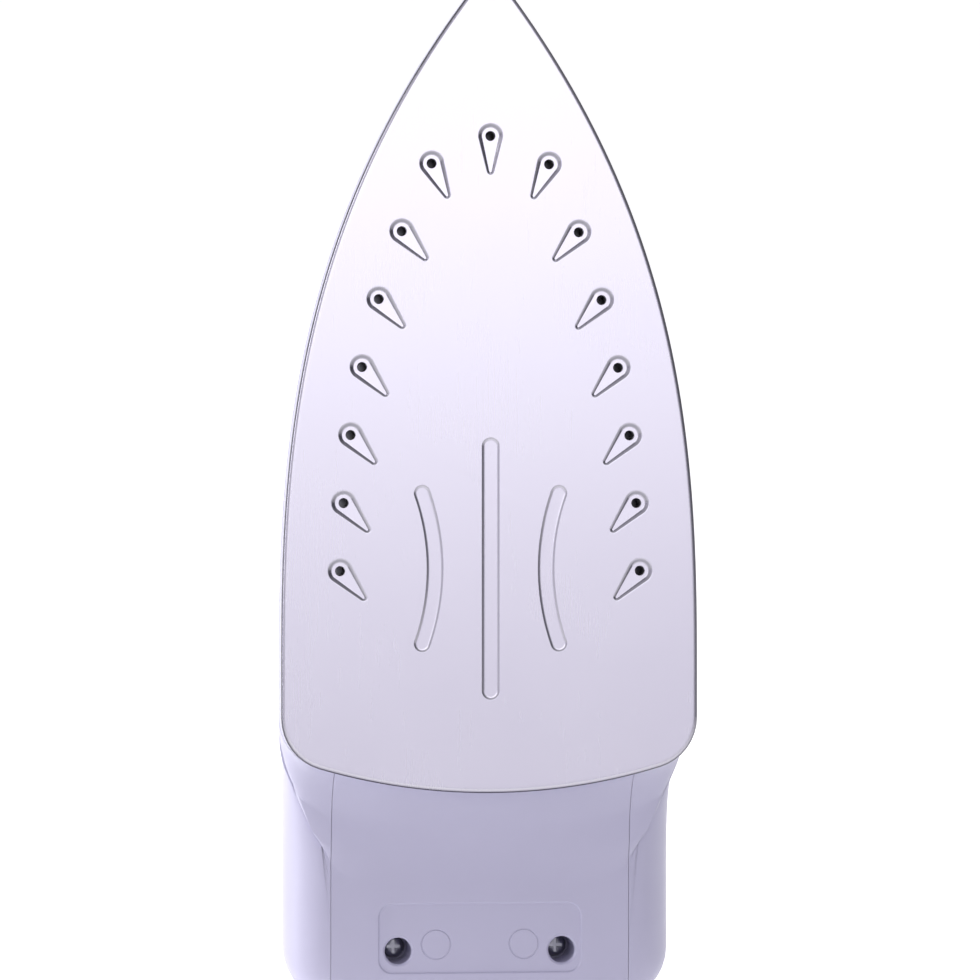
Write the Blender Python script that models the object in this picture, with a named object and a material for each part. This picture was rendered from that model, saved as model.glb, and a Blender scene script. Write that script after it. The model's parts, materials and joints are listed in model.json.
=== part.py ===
"""A steam iron standing on its heel rest, made of its separate pieces.

Every piece is modelled as the iron lies while it irons: +Y runs from the heel to the tip, +Z from
the sole's working face up to the handle, and X goes across. stand_on_heel() then turns the whole
assembly about X, so that the heel rest is down and the tip is up.
"""

import math

import bmesh
import bpy
import numpy as np
from mathutils import Matrix, Vector

mm = 0.001
PLAY = 0.3 * mm  # gap between pieces that touch
RUN_PLAY = 0.4 * mm  # gap round pieces that move
PAST = 2 * mm  # how far a cutter runs past the face that it opens

# The sole's outline.
SOLE_LENGTH = 228 * mm  # heel to the point where the two flanks would meet
SOLE_HALF_WIDTH = 57.7 * mm
FLANK_RUN = SOLE_LENGTH - 33 * mm  # length over which the flank widens to its full width
FLANK_POWER = 2.69
TIP_START = 3 * mm  # where the tip's small arc hands over to the flank
HEEL_RADIUS = 166 * mm
HEEL_CORNER = 14.5 * mm

# The steel sole plate, a shallow tray with vents and grooves.
SHEET = 1.6 * mm
SOLE_BEVEL = 1.1 * mm
TRAY_HEIGHT = 3.0 * mm
TRAY_WALL = 1.6 * mm
RECESS_DEPTH = 0.9 * mm
VENT_INSET = 15.8 * mm  # from the sole's edge to the row of vents
VENT_FIRST_Y = 61.3 * mm
VENT_PITCH = 18.7 * mm
VENTS_A_SIDE = 7
VENT_APEX_Y = SOLE_LENGTH - 46.8 * mm
VENT_HOLE_RADIUS = 1.4 * mm
DROP_RADIUS = 3.2 * mm
DROP_TAIL_RADIUS = 0.9 * mm
DROP_LENGTH = 10.4 * mm  # vent's middle to the end of the drop's tail
DROP_TURN = math.radians(41.5)
DROP_TURN_FRONT = math.radians(26)
GROOVE_WIDTH = 4.7 * mm
GROOVE_FROM_Y = 25.9 * mm
GROOVE_TO_Y = 98.0 * mm
SIDE_GROOVE_WIDTH = 4.4 * mm
SIDE_GROOVE_RADIUS = 62 * mm
SIDE_GROOVE_X = 15.4 * mm  # where the arc comes nearest the middle
SIDE_GROOVE_Y = 62 * mm
SIDE_GROOVE_SPAN = math.radians(19.5)

# The heater: an aluminium casting with a steam chamber and a bent tube element.
CASTING_TOP = 8 * mm
SKIRT_WALL = 2.3 * mm
CHAMBER_INSET = 7 * mm
CHAMBER_WALL = 2.5 * mm
CHAMBER_TOP = 14 * mm
CHAMBER_REAR_Y = 40 * mm
CHAMBER_FRONT_Y = SOLE_LENGTH - 37 * mm
SEAL_THICKNESS = 1 * mm
LID_THICKNESS = 1.2 * mm
ELEMENT_RADIUS = 3.3 * mm
ELEMENT_INSET = 24.5 * mm
ELEMENT_REAR_Y = 18 * mm
ELEMENT_NOSE_Y = 155 * mm
ELEMENT_NOSE_REACH = 13 * mm
ELEMENT_RISE = 7 * mm  # the ends turn up out of the casting
RIDGE_WALL = 1.3 * mm
PIN_RADIUS = 1.3 * mm
PIN_LENGTH = 8 * mm
FUSE_RADIUS = 2.2 * mm
FUSE_LENGTH = 24 * mm
FUSE_Y = 27 * mm
CLIP_WIDTH = 6 * mm
CLIP_SHEET = 0.9 * mm
SOLE_SCREW_NOSE_Y = SOLE_LENGTH - 25 * mm
SOLE_SCREW_REAR = (SOLE_HALF_WIDTH - 13.7 * mm, 16 * mm)

# The screws, all one kind.
SCREW_RADIUS = 1.6 * mm
SCREW_HEAD_RADIUS = 3.2 * mm
SCREW_HEAD = 2.2 * mm
SCREW_CLEARANCE = 2.0 * mm
SCREW_PILOT = 1.95 * mm
BOSS_RADIUS = 4.5 * mm
LUG = 2 * mm

# The body: skirt, shell, tail and deck.
SKIRT_TOP = 10 * mm
DECK_Z = 64 * mm
WAIST_Z = 42 * mm  # where the shell's flank stands upright
WAIST_HALF_WIDTH = SOLE_HALF_WIDTH - 3.2 * mm
DECK_HALF_WIDTH = SOLE_HALF_WIDTH - 13.7 * mm
APEX_RECEDE = 32 * mm  # how far the nose leans back from the skirt to the deck
NOSE_BLUNTING = 24 * mm  # how much blunter the nose is at the deck
FLANK_END_Y = 33 * mm  # the flanks run parallel behind this line
WALL = 2.4 * mm
TAIL_LENGTH = 62 * mm
TAIL_Z = 26 * mm  # the tail's flat underside
RAMP_LENGTH = 28 * mm  # from the sole's heel to that flat
COVER_HALF_WIDTH = 42 * mm
TAIL_CORNER = 14 * mm
TAIL_EDGE = 4 * mm  # rounding between the tail's underside and the heel rest
LEAN = math.radians(9.5)  # the heel rest's angle to the sole's normal
HEEL_POINT_Z = 45 * mm  # the heel rest's reference point

# The rear cover.
COVER_TOP_Z = 60 * mm
COVER_FRONT_Y = 10 * mm
PANEL_WIDTH = 57.4 * mm
PANEL_LENGTH = 19.7 * mm
PANEL_MIDDLE_Y = -42.2 * mm
PANEL_CORNER = 4 * mm
PANEL_DEPTH = 0.5 * mm
COVER_SCREW_X = 23.1 * mm
COVER_SCREW_Y = -45.7 * mm
COVER_BORE_RADIUS = 3.75 * mm
COVER_BORE_DEPTH = 17 * mm
COVER_BOSS_RADIUS = 5.8 * mm
COVER_SEAT = 2.5 * mm

# The water tank.
TANK_FLOOR_Z = 30 * mm
TANK_FLOOR = 2 * mm
TANK_WALL = 2 * mm
TANK_REAR_Y = 11 * mm
TUBE_WALL = 1.8 * mm

# The dial in the deck, and the thermostat under it.
DIAL_Y = 70 * mm
DIAL_RADIUS = 26 * mm
DIAL_HEIGHT = 9 * mm
DIAL_PROUD = 4.5 * mm
DIAL_RIDGES = 24
DIAL_RIDGE_DEPTH = 0.9 * mm
DIAL_SHAFT_RADIUS = 2.5 * mm
THERMOSTAT_SIZE = Vector((26, 15, 9)) * mm
THERMOSTAT_PAD_RADIUS = 12 * mm
THERMOSTAT_PAD_Z = 17.5 * mm

# The self-clean button in the deck.
CLEAN_Y = 112 * mm
CLEAN_RADIUS = 5.5 * mm
CLEAN_PROUD = 3.5 * mm
CLEAN_STEM_RADIUS = 2 * mm
CLEAN_BOTTOM_Z = 60 * mm
CLEAN_POCKET_Z = 51 * mm

# The handle: a hollow arch lofted through ribs. Each rib has the point on the finger side, the
# point on the outer side, both as (y, z), then the half width, in millimetres, and the share
# by which it narrows towards the outer side.
RIBS = (
    ((20, 50), (-61, 48), 44, 0),
    ((16.5, 66), (-59, 64), 40, 0),
    ((13, 80), (-56.5, 80), 33, 0),
    ((12, 92), (-53.5, 98), 27, 0),
    ((15, 100), (-48, 116), 23, 0),
    ((22, 104.5), (-26, 129.5), 20.5, 0),
    ((34, 106), (6, 133), 19, 0),
    ((54, 106.5), (42, 134.5), 18.5, 0),
    ((80, 106.5), (76, 135), 18.5, 0),
    ((102, 105.5), (106, 135), 20.5, 0),
    ((117, 103), (130, 134.5), 24, 0.03),
    ((126, 98), (152, 131.6), 28, 0.12),
    ((130, 90), (170, 124.5), 30, 0.28),
    ((131, 80), (179, 110), 31, 0.38),
    ((131, 70), (182, 90), 32.5, 0.44),
    ((130, 60), (184, 72), 33.5, 0.5),
    ((129, 48), (185, 54), 34, 0.5),
)
RIB_ROUNDNESS = 2.9  # superellipse power of the sections
HANDLE_WALL = 3 * mm
PARTING_Z = 117 * mm
GRIP_FROM_Y = 22 * mm
GRIP_TO_Y = 108 * mm
GRIP_HALF_WIDTH = 13 * mm
GRIP_DEPTH = 1.4 * mm
HANDLE_SCREW = (31 * mm, -20 * mm)
HANDLE_BOSS_HEIGHT = 9 * mm
CABLE_HOLE_RADIUS = 6 * mm
CABLE_Y = -25 * mm

# The two pump buttons.
BUTTON_X = 8.8 * mm
BUTTON_Y = 141 * mm
BUTTON_WIDTH = 14 * mm
BUTTON_LENGTH = 17 * mm
BUTTON_TOP_Z = 136.5 * mm
BUTTON_HEIGHT = 9.5 * mm
BUTTON_CORNER = 4 * mm
BUTTON_STEM_RADIUS = 2.2 * mm
PISTON_RADIUS = 4.2 * mm
PISTON_HEIGHT = 4 * mm
PISTON_Z = 108 * mm
PUMP_RADIUS = 6.2 * mm
PUMP_BORE = 4.6 * mm
PUMP_FROM_Z = 91 * mm
PUMP_TO_Z = 116.5 * mm
PUMP_FLOOR = 2 * mm
PUMP_OUTLET_Z = 96 * mm
SHELF = 2.5 * mm
SPRING_RADIUS = 3.2 * mm
SPRING_WIRE = 0.4 * mm
SPRING_TURNS = 4

# The steam selector, its needle and the valve.
SELECTOR_Y = 162 * mm
SELECTOR_SEAT_Z = 132.4 * mm
SELECTOR_RADIUS = 8.5 * mm
SELECTOR_HEIGHT = 4.2 * mm
SELECTOR_NECK_RADIUS = 4.6 * mm
SELECTOR_NECK = 16 * mm
LEVER_LENGTH = 15 * mm
LEVER_WIDTH = 5 * mm
NEEDLE_RADIUS = 1.5 * mm
NEEDLE_TOP_Z = 124 * mm
NEEDLE_TIP_Z = 19.5 * mm
NEEDLE_LIFT = 3 * mm
VALVE_RADIUS = 4 * mm
TURRET_RADIUS = 10 * mm

# The spray nozzle, the hoses and the filler.
NOZZLE_Z = 88 * mm
NOZZLE_RADIUS = 4.6 * mm
NOZZLE_LENGTH = 11 * mm
NOZZLE_FRONT_Y = 186 * mm
HOSE_RADIUS = 1.9 * mm
STEAM_HOSE = (-12 * mm, 152.5 * mm)
FILLER_Y = SOLE_LENGTH - 27 * mm
FILLER_Z = 45.5 * mm
FILLER_TILT = math.radians(45)
FILLER_RADIUS = 8.5 * mm
CAP_HALF_WIDTH = 12.5 * mm
CAP_LENGTH = 27 * mm
CAP_THICKNESS = 1.9 * mm
CAP_SEAL_RADIUS = 8 * mm
CAP_SEAL_DEPTH = 3.2 * mm
SEAT_DEPTH = 7.5 * mm
SEAT_RADIUS = 11.2 * mm
BARREL_RADIUS = 2.3 * mm
BARREL_LENGTH = 12 * mm
HINGE_PIN_RADIUS = 1.1 * mm
LUG_WIDTH = 2.4 * mm
HINGE_REACH = 16.5 * mm  # from the filler's middle to the hinge
HINGE_RISE = 2.4 * mm
LUG_DEPTH = 3.8 * mm

# The cord's swivelling gland, the pilot light and the terminal block.
GLAND_Y = -24 * mm
GLAND_Z = 121 * mm
GLAND_RADIUS = 9 * mm
GLAND_TILT = math.radians(17.5)
GLAND_SWING = math.radians(20)
COLLAR_RADIUS = 5 * mm
COLLAR_LENGTH = 10 * mm
CORD_BORE_RADIUS = 3.3 * mm
PILOT_Y = 8 * mm
PILOT_RADIUS = 2.8 * mm
PILOT_PROUD = 0.6 * mm
TERMINAL_SIZE = Vector((34, 14, 12)) * mm
TERMINAL_Y = -26 * mm
LEAD_RADIUS = 1.3 * mm

# Facets.
TIP_STEPS = 3
FLANK_STEPS = 7
SIDE_STEPS = 4
CORNER_STEPS = 3
HEEL_STEPS = 2
RIB_POINTS = 16
SHELL_LEVELS = (10.3, 18, 24, 25.7, 26, 28, 33, 42, 53, 61, 64)
CAVITY_LEVELS = (12.4, 20, 26, 28.1, 28.4, 34, 42, 53, 61.6)

COLOURS = {
    "steel": ((0.78, 0.78, 0.82), 0.22, 1.0),
    "aluminium": ((0.62, 0.62, 0.64), 0.45, 1.0),
    "brass": ((0.72, 0.55, 0.25), 0.35, 1.0),
    "shell": ((0.70, 0.69, 0.80), 0.38, 0.0),
    "grip": ((0.20, 0.19, 0.26), 0.70, 0.0),
    "tank": ((0.62, 0.64, 0.78), 0.30, 0.0),
    "silicone": ((0.60, 0.22, 0.16), 0.75, 0.0),
    "ceramic": ((0.86, 0.84, 0.78), 0.50, 0.0),
    "lens": ((0.80, 0.20, 0.10), 0.15, 0.0),
    "lead": ((0.15, 0.16, 0.30), 0.55, 0.0),
}


# ---------------------------------------------------------------- scene and materials


def clear_scene():
    for old in list(bpy.data.objects):
        bpy.data.objects.remove(old)


def new_collection(name):
    made = bpy.data.collections.new(name)
    bpy.context.scene.collection.children.link(made)
    return made


def material(name):
    """The finish of that name, made once."""
    if name in bpy.data.materials:
        return bpy.data.materials[name]
    colour, roughness, metallic = COLOURS[name]
    made = bpy.data.materials.new(name)
    made.use_nodes = True
    shader = made.node_tree.nodes["Principled BSDF"]
    shader.inputs["Base Color"].default_value = (*colour, 1)
    shader.inputs["Roughness"].default_value = roughness
    shader.inputs["Metallic"].default_value = metallic
    return made


def add_object(name, mesh):
    made = bpy.data.objects.new(name, mesh)
    IRON.objects.link(made)
    return made


def finish(piece, name, finish_name):
    """Names a piece, gives it its finish and shades its round faces smooth."""
    piece.name = name
    piece.data.name = name
    piece.data.materials.clear()
    piece.data.materials.append(material(finish_name))
    piece.data.shade_smooth()
    piece.data.set_sharp_from_angle(angle=math.radians(35))
    return piece


def from_bmesh(work, name="shape"):
    bmesh.ops.recalc_face_normals(work, faces=work.faces)
    mesh = bpy.data.meshes.new(name)
    work.to_mesh(mesh)
    work.free()
    return add_object(name, mesh)


# ---------------------------------------------------------------- simple solids


def prism(outline, z_from, z_to):
    """A flat outline, as (x, y) points, raised from z_from to z_to."""
    work = bmesh.new()
    base = work.faces.new([work.verts.new((x, y, z_from)) for x, y in outline])
    raised = bmesh.ops.extrude_face_region(work, geom=[base])["geom"]
    tops = [v for v in raised if isinstance(v, bmesh.types.BMVert)]
    bmesh.ops.translate(work, vec=(0, 0, z_to - z_from), verts=tops)
    return from_bmesh(work)


def box(low, high):
    low, high = Vector(low), Vector(high)
    work = bmesh.new()
    bmesh.ops.create_cube(work, size=1)
    bmesh.ops.scale(work, vec=high - low, verts=work.verts)
    bmesh.ops.translate(work, vec=(low + high) / 2, verts=work.verts)
    return from_bmesh(work)


def cone(start, end, radius, end_radius, sides=16):
    """A round bar from one point to another, tapering from radius to end_radius."""
    start, end = Vector(start), Vector(end)
    along = end - start
    place = Matrix.Translation((start + end) / 2) @ along.to_track_quat("Z", "Y").to_matrix().to_4x4()
    work = bmesh.new()
    bmesh.ops.create_cone(
        work,
        cap_ends=True,
        segments=sides,
        radius1=radius,
        radius2=end_radius,
        depth=along.length,
        matrix=place,
    )
    return from_bmesh(work)


def bar(start, end, radius, sides=16):
    return cone(start, end, radius, radius, sides)


def upright(x, y, z_from, z_to, radius, sides=16):
    return bar((x, y, z_from), (x, y, z_to), radius, sides)


def ball(middle, radius, segments=16, rings=10):
    work = bmesh.new()
    bmesh.ops.create_uvsphere(
        work, u_segments=segments, v_segments=rings, radius=radius, matrix=Matrix.Translation(middle)
    )
    return from_bmesh(work)


def tube(points, radius, bevel_resolution=2):
    """A wire or hose through the points, as a curve made into a closed mesh."""
    curve = bpy.data.curves.new("tube", "CURVE")
    curve.dimensions = "3D"
    curve.bevel_depth = radius
    curve.bevel_resolution = bevel_resolution
    curve.use_fill_caps = True
    spline = curve.splines.new("POLY")
    spline.points.add(len(points) - 1)
    for place, point in zip(spline.points, points):
        place.co = (*point, 1)
    guide = add_object("tube", curve)
    bpy.context.view_layer.update()
    graph = bpy.context.evaluated_depsgraph_get()
    mesh = bpy.data.meshes.new_from_object(guide.evaluated_get(graph))
    work = bmesh.new()
    work.from_mesh(mesh)
    bmesh.ops.remove_doubles(work, verts=work.verts, dist=0.001 * mm)
    bpy.data.objects.remove(guide)
    return from_bmesh(work)


def smooth_path(points, steps=4):
    """Points read from a smooth curve through the given ones."""
    points = [Vector(p) for p in points]
    ends = [2 * points[0] - points[1], *points, 2 * points[-1] - points[-2]]
    path = []
    for a, b, c, d in zip(ends, ends[1:], ends[2:], ends[3:]):
        for k in range(steps):
            t = k / steps
            path.append(
                0.5 * (2 * b + (c - a) * t + (2 * a - 5 * b + 4 * c - d) * t**2 + (3 * b - 3 * c + d - a) * t**3)
            )
    return [*path, points[-1]]


def held_path(points):
    """A smooth path whose first and last stretches are straight, as where a wire enters its seat."""
    return [Vector(points[0]), *smooth_path(points[1:-1]), Vector(points[-1])]


def rounded_rectangle(width, length, corner, middle=(0, 0), steps=4):
    outline = []
    for quarter, (sx, sy) in enumerate(((1, 1), (-1, 1), (-1, -1), (1, -1))):
        for k in range(steps + 1):
            a = math.pi / 2 * (quarter + k / steps)
            outline.append(
                (
                    middle[0] + sx * (width / 2 - corner) + corner * math.cos(a),
                    middle[1] + sy * (length / 2 - corner) + corner * math.sin(a),
                )
            )
    return outline


# ---------------------------------------------------------------- Booleans


def combine(piece, other, operation):
    """Changes piece by other with a Boolean, and removes other."""
    step = piece.modifiers.new(operation, "BOOLEAN")
    step.operation = operation
    step.object = other
    bpy.context.view_layer.update()
    graph = bpy.context.evaluated_depsgraph_get()
    mesh = bpy.data.meshes.new_from_object(piece.evaluated_get(graph))
    piece.modifiers.clear()
    piece.data = mesh
    bpy.data.objects.remove(other)
    return piece


def cut(piece, *others):
    for other in others:
        combine(piece, other, "DIFFERENCE")
    return piece


def join(piece, *others):
    for other in others:
        combine(piece, other, "UNION")
    return piece


def keep(piece, other):
    return combine(piece, other, "INTERSECT")


# ---------------------------------------------------------------- plan outlines and lofts


def flank(s, half_width, run):
    """Half width at a distance s behind the point where the flanks meet."""
    return half_width * (1 - (1 - min(s / run, 1)) ** FLANK_POWER)


def flank_slope(s, half_width, run):
    return half_width * FLANK_POWER / run * (1 - min(s / run, 1)) ** (FLANK_POWER - 1)


def ease(t):
    t = max(0, min(1, t))
    return t * t * (3 - 2 * t)


def plan(apex, half_width, run, tip, heel, corner, heel_radius=None, tail_half_width=None):
    """A closed outline in plan: a small arc at the tip, two flanks, two sides, corners, a heel."""
    tail_half_width = tail_half_width or half_width
    tip_x, slope = flank(tip, half_width, run), math.atan(flank_slope(tip, half_width, run))
    tip_radius = tip_x / math.cos(slope)
    tip_middle = apex - tip - tip_x * math.tan(slope)
    side = []
    for k in range(TIP_STEPS):
        a = math.pi / 2 - (math.pi / 2 - slope) * k / TIP_STEPS
        side.append((tip_radius * math.cos(a), tip_middle + tip_radius * math.sin(a)))
    for k in range(FLANK_STEPS + 1):
        s = tip + (run - tip) * k / FLANK_STEPS
        side.append((flank(s, half_width, run), apex - s))

    def side_x(y):
        return half_width - (half_width - tail_half_width) * ease((14 * mm - y) / (38 * mm))

    side_start = apex - run
    corner_x = side_x(heel + corner)
    if heel_radius:
        reach = math.sqrt((heel_radius - corner) ** 2 - (corner_x - corner) ** 2)
        corner_y = heel + heel_radius - reach
        corner_end = -math.atan2(reach, corner_x - corner)
    else:
        corner_y, corner_end = heel + corner, -math.pi / 2
    for k in range(1, SIDE_STEPS):
        y = side_start + (corner_y - side_start) * k / SIDE_STEPS
        side.append((side_x(y), y))
    for k in range(CORNER_STEPS + 1):
        a = corner_end * k / CORNER_STEPS
        side.append((corner_x - corner + corner * math.cos(a), corner_y + corner * math.sin(a)))
    end_x, end_y = side[-1]
    for k in range(1, HEEL_STEPS + 1):
        x = end_x * (1 - k / HEEL_STEPS)
        if heel_radius:
            side.append((x, heel + heel_radius - math.sqrt(heel_radius**2 - x**2)))
        else:
            side.append((x, end_y))
    return side + [(-x, y) for x, y in reversed(side[1:-1])]


def inset(outline, distance):
    """The outline moved inwards by a distance, along the bisector at each corner."""
    moved = []
    count = len(outline)
    for i in range(count):
        before, here, after = (Vector(outline[(i + k) % count]) for k in (-1, 0, 1))
        first, second = (here - before).normalized(), (after - here).normalized()
        inward = Vector((first.y + second.y, -first.x - second.x)).normalized()
        share = max(0.3, inward.dot(Vector((first.y, -first.x))))
        moved.append(tuple(here + inward * distance / share))
    return moved


def sole_outline(distance=0.0):
    return inset(
        plan(SOLE_LENGTH, SOLE_HALF_WIDTH, FLANK_RUN, TIP_START, 0, HEEL_CORNER, HEEL_RADIUS), distance
    )


def heel_plane_y(z):
    return -TAIL_LENGTH + (z - TAIL_Z) * math.tan(LEAN)


def in_ramp(z):
    """Whether a height is below the tail's flat underside."""
    return z < TAIL_Z - 0.01 * mm


def heel_y(z):
    """Where the body ends at the rear: down the concave ramp, then along the heel rest."""
    if in_ramp(z):
        climb = (z - SKIRT_TOP) / (TAIL_Z - SKIRT_TOP)
        return -RAMP_LENGTH * (1 - math.sqrt(max(0, 1 - climb**2)))
    drop = min(1, max(0, 1 - (z - TAIL_Z) / TAIL_EDGE))
    return heel_plane_y(z) + TAIL_EDGE * (1 - math.sqrt(1 - drop**2))


def body_half_width(z):
    if z < WAIST_Z:
        share = ease((z - SKIRT_TOP) / (WAIST_Z - SKIRT_TOP))
        return SOLE_HALF_WIDTH + (WAIST_HALF_WIDTH - SOLE_HALF_WIDTH) * share
    climb = min(1, (z - WAIST_Z) / (DECK_Z - WAIST_Z))
    return DECK_HALF_WIDTH + (WAIST_HALF_WIDTH - DECK_HALF_WIDTH) * math.sqrt(1 - climb**2)


def tail_half_width(z):
    """Half width of the tail: it narrows to the flat underside, and is rounded above it."""
    rounding = WAIST_HALF_WIDTH - COVER_HALF_WIDTH
    if in_ramp(z):
        share = ((z - SKIRT_TOP) / (TAIL_Z - SKIRT_TOP)) ** 2
        return body_half_width(z) + (COVER_HALF_WIDTH - body_half_width(z)) * share
    if z > TAIL_Z + rounding:
        return body_half_width(z)
    drop = min(1, 1 - (z - TAIL_Z) / rounding)
    return COVER_HALF_WIDTH + rounding * math.sqrt(1 - drop**2)


def body_outline(z, distance=0.0):
    """The body's outline at a height, moved inwards by a distance."""
    climb = max(0, min(1, (z - SKIRT_TOP) / (DECK_Z - SKIRT_TOP)))
    apex = SOLE_LENGTH - APEX_RECEDE * climb**1.5
    outline = plan(
        apex,
        body_half_width(z),
        apex - FLANK_END_Y,
        TIP_START + NOSE_BLUNTING * climb,
        heel_y(z),
        TAIL_CORNER,
        HEEL_RADIUS if z < TAIL_Z - PAST else None,
        tail_half_width(z),
    )
    return inset(outline, distance)


def loft(rings):
    """A closed solid through rings of equal length, with flat ends."""
    work = bmesh.new()
    rows = [[work.verts.new(point) for point in ring] for ring in rings]
    count = len(rows[0])
    for lower, upper in zip(rows, rows[1:]):
        for i in range(count):
            k = (i + 1) % count
            work.faces.new((lower[i], lower[k], upper[k], upper[i]))
    bmesh.ops.triangulate(work, faces=work.faces)
    work.faces.new(rows[0])
    work.faces.new(rows[-1])
    return from_bmesh(work)


def at_height(outline, z):
    return [(x, y, z) for x, y in outline]


def body_solid(grow=0.0):
    """The body's full outer form, grown on all sides by a distance."""
    levels = [z * mm for z in SHELL_LEVELS]
    rings = [at_height(body_outline(z, -grow), z) for z in levels]
    rings[0] = at_height(body_outline(levels[0], -grow), levels[0] - grow)
    rings[-1] = at_height(body_outline(levels[-1], -grow), levels[-1] + grow)
    return loft(rings)


def cavity_height(z):
    """The outer level whose outline, moved in by the wall, bounds the cavity at height z."""
    rise = ease((z - WAIST_Z) / (DECK_Z - WALL - WAIST_Z))
    return z - WALL + 2 * WALL * rise


def body_cavity(shrink=0.0, open_below=True):
    """The space inside the body's wall, made smaller by a distance."""
    levels = [z * mm for z in CAVITY_LEVELS]
    rings = [at_height(body_outline(cavity_height(z), WALL + shrink), z) for z in levels]
    if open_below:
        x_y = [(x, y) for x, y, _ in rings[0]]
        rings.insert(0, at_height(x_y, SKIRT_TOP - PAST))
    return loft(rings)


def rib_ring(rib, shrink):
    """A rounded section between a rib's two points, made smaller by a distance."""
    (inner_y, inner_z), (outer_y, outer_z), half_width, narrowing = rib
    inner, outer = Vector((0, inner_y, inner_z)) * mm, Vector((0, outer_y, outer_z)) * mm
    middle = (inner + outer) / 2
    out = (outer - inner).normalized()
    half_thickness = (outer - inner).length / 2 - shrink
    ring = []
    for k in range(RIB_POINTS):
        a = 2 * math.pi * k / RIB_POINTS
        across = math.copysign(abs(math.cos(a)) ** (2 / RIB_ROUNDNESS), math.cos(a))
        along = math.copysign(abs(math.sin(a)) ** (2 / RIB_ROUNDNESS), math.sin(a))
        reach = half_width * mm * (1 - narrowing * (1 + along) / 2) - shrink
        ring.append(Vector((across * reach, 0, 0)) + middle + out * along * half_thickness)
    return ring


def arch(shrink=0.0):
    """The handle's whole form, made smaller by a distance."""
    rings = [rib_ring(rib, shrink) for rib in RIBS]
    if shrink:
        past = Vector((0, 0, -PAST))
        rings = [[p + past for p in rings[0]], *rings, [p + past for p in rings[-1]]]
    return loft(rings)


def behind_heel_plane(gap=0.0):
    """A block whose front face is the heel rest's plane, moved forward by a gap."""
    size = 400 * mm
    place = (
        Matrix.Translation((0, heel_plane_y(0) + gap, 0))
        @ Matrix.Rotation(-LEAN, 4, "X")
        @ Matrix.Translation((0, -size / 2, 0))
    )
    work = bmesh.new()
    bmesh.ops.create_cube(work, size=size, matrix=place)
    return from_bmesh(work)


# ---------------------------------------------------------------- more outlines and solids


def flank_at(y, distance):
    """x of the sole's flank at y, once the flank is moved inwards by a distance."""
    steps = [FLANK_RUN * k / 60 for k in range(60, 0, -1)]
    slopes = [math.atan(flank_slope(s, SOLE_HALF_WIDTH, FLANK_RUN)) for s in steps]
    along = [SOLE_LENGTH - s - distance * math.sin(a) for s, a in zip(steps, slopes)]
    across = [flank(s, SOLE_HALF_WIDTH, FLANK_RUN) - distance * math.cos(a) for s, a in zip(steps, slopes)]
    return float(np.interp(y, along, across))


def inner_outline(distance, rear_y, front_y, steps=8):
    """The sole's form moved well inwards, between two straight ends."""
    rows = [front_y + (rear_y - front_y) * k / steps for k in range(steps + 1)]
    right = [(flank_at(y, distance), y) for y in rows]
    return right + [(-x, y) for x, y in reversed(right)]


def side_prism(outline, x_from, x_to):
    """An outline in side view, as (y, z) points, drawn out across from x_from to x_to."""
    made = prism(outline, x_from, x_to)
    made.data.transform(Matrix(((0, 0, 1, 0), (1, 0, 0, 0), (0, 1, 0, 0), (0, 0, 0, 1))))
    return made


def merged(pieces):
    """Separate shapes as one object, to cut with together."""
    work = bmesh.new()
    for piece in pieces:
        work.from_mesh(piece.data)
        bpy.data.objects.remove(piece)
    return from_bmesh(work)


def screw(x, y, seat_z, end_z, side=1):
    """A screw with its head on the far side of seat_z from end_z."""
    head = upright(x, y, seat_z, seat_z + side * SCREW_HEAD, SCREW_HEAD_RADIUS, 12)
    return join(head, upright(x, y, seat_z + side * SCREW_HEAD / 2, end_z, SCREW_RADIUS, 8))


def helix(x, y, z_from, z_to, radius):
    count = 8 * SPRING_TURNS
    points = []
    for k in range(count + 1):
        a = 2 * math.pi * k / 8
        points.append((x + radius * math.cos(a), y + radius * math.sin(a), z_from + (z_to - z_from) * k / count))
    return tube(points, SPRING_WIRE, 0)


# ---------------------------------------------------------------- the sole and the heater


def vents():
    """Each vent's middle, with the angle by which its drop's tail turns inwards."""
    places = [(0, VENT_APEX_Y, 0)]
    for k in range(VENTS_A_SIDE):
        y = VENT_FIRST_Y + VENT_PITCH * k
        x = flank_at(y, VENT_INSET)
        turn = DROP_TURN_FRONT if k == VENTS_A_SIDE - 1 else DROP_TURN
        places += [(x, y, turn), (-x, y, -turn)]
    return places


def vent_holes(z_from, z_to):
    return merged([upright(x, y, z_from, z_to, VENT_HOLE_RADIUS, 8) for x, y, _ in vents()])


def drop_outline(x, y, turn):
    """A drop whose round end surrounds the vent and whose tail points to the heel."""
    reach = DROP_LENGTH - DROP_TAIL_RADIUS
    opening = math.acos((DROP_RADIUS - DROP_TAIL_RADIUS) / reach)
    down = Vector((-math.sin(turn), -math.cos(turn)))
    across = Vector((down.y, -down.x))
    outline = []
    for radius, start, middle, first, last, steps in (
        (DROP_RADIUS, 0, Vector((x, y)), opening, 2 * math.pi - opening, 7),
        (DROP_TAIL_RADIUS, reach, Vector((x, y)), -opening, opening, 2),
    ):
        for k in range(steps + 1):
            a = first + (last - first) * k / steps
            outline.append(tuple(middle + down * (start + radius * math.cos(a)) + across * radius * math.sin(a)))
    return outline


def slot(path, width):
    """The outline of a groove of that width with round ends, along a path of (x, y) points."""
    path = [Vector(p) for p in path]
    right, left = [], []
    for i, here in enumerate(path):
        along = (path[min(i + 1, len(path) - 1)] - path[max(i - 1, 0)]).normalized()
        across = Vector((along.y, -along.x)) * width / 2
        right.append(tuple(here + across))
        left.append(tuple(here - across))

    def end(middle, start):
        arm = Vector(start) - middle
        return [tuple(middle + Matrix.Rotation(math.pi * k / 4, 2) @ arm) for k in (1, 2, 3)]

    return right + end(path[-1], right[-1]) + left[::-1] + end(path[0], left[0])


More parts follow.
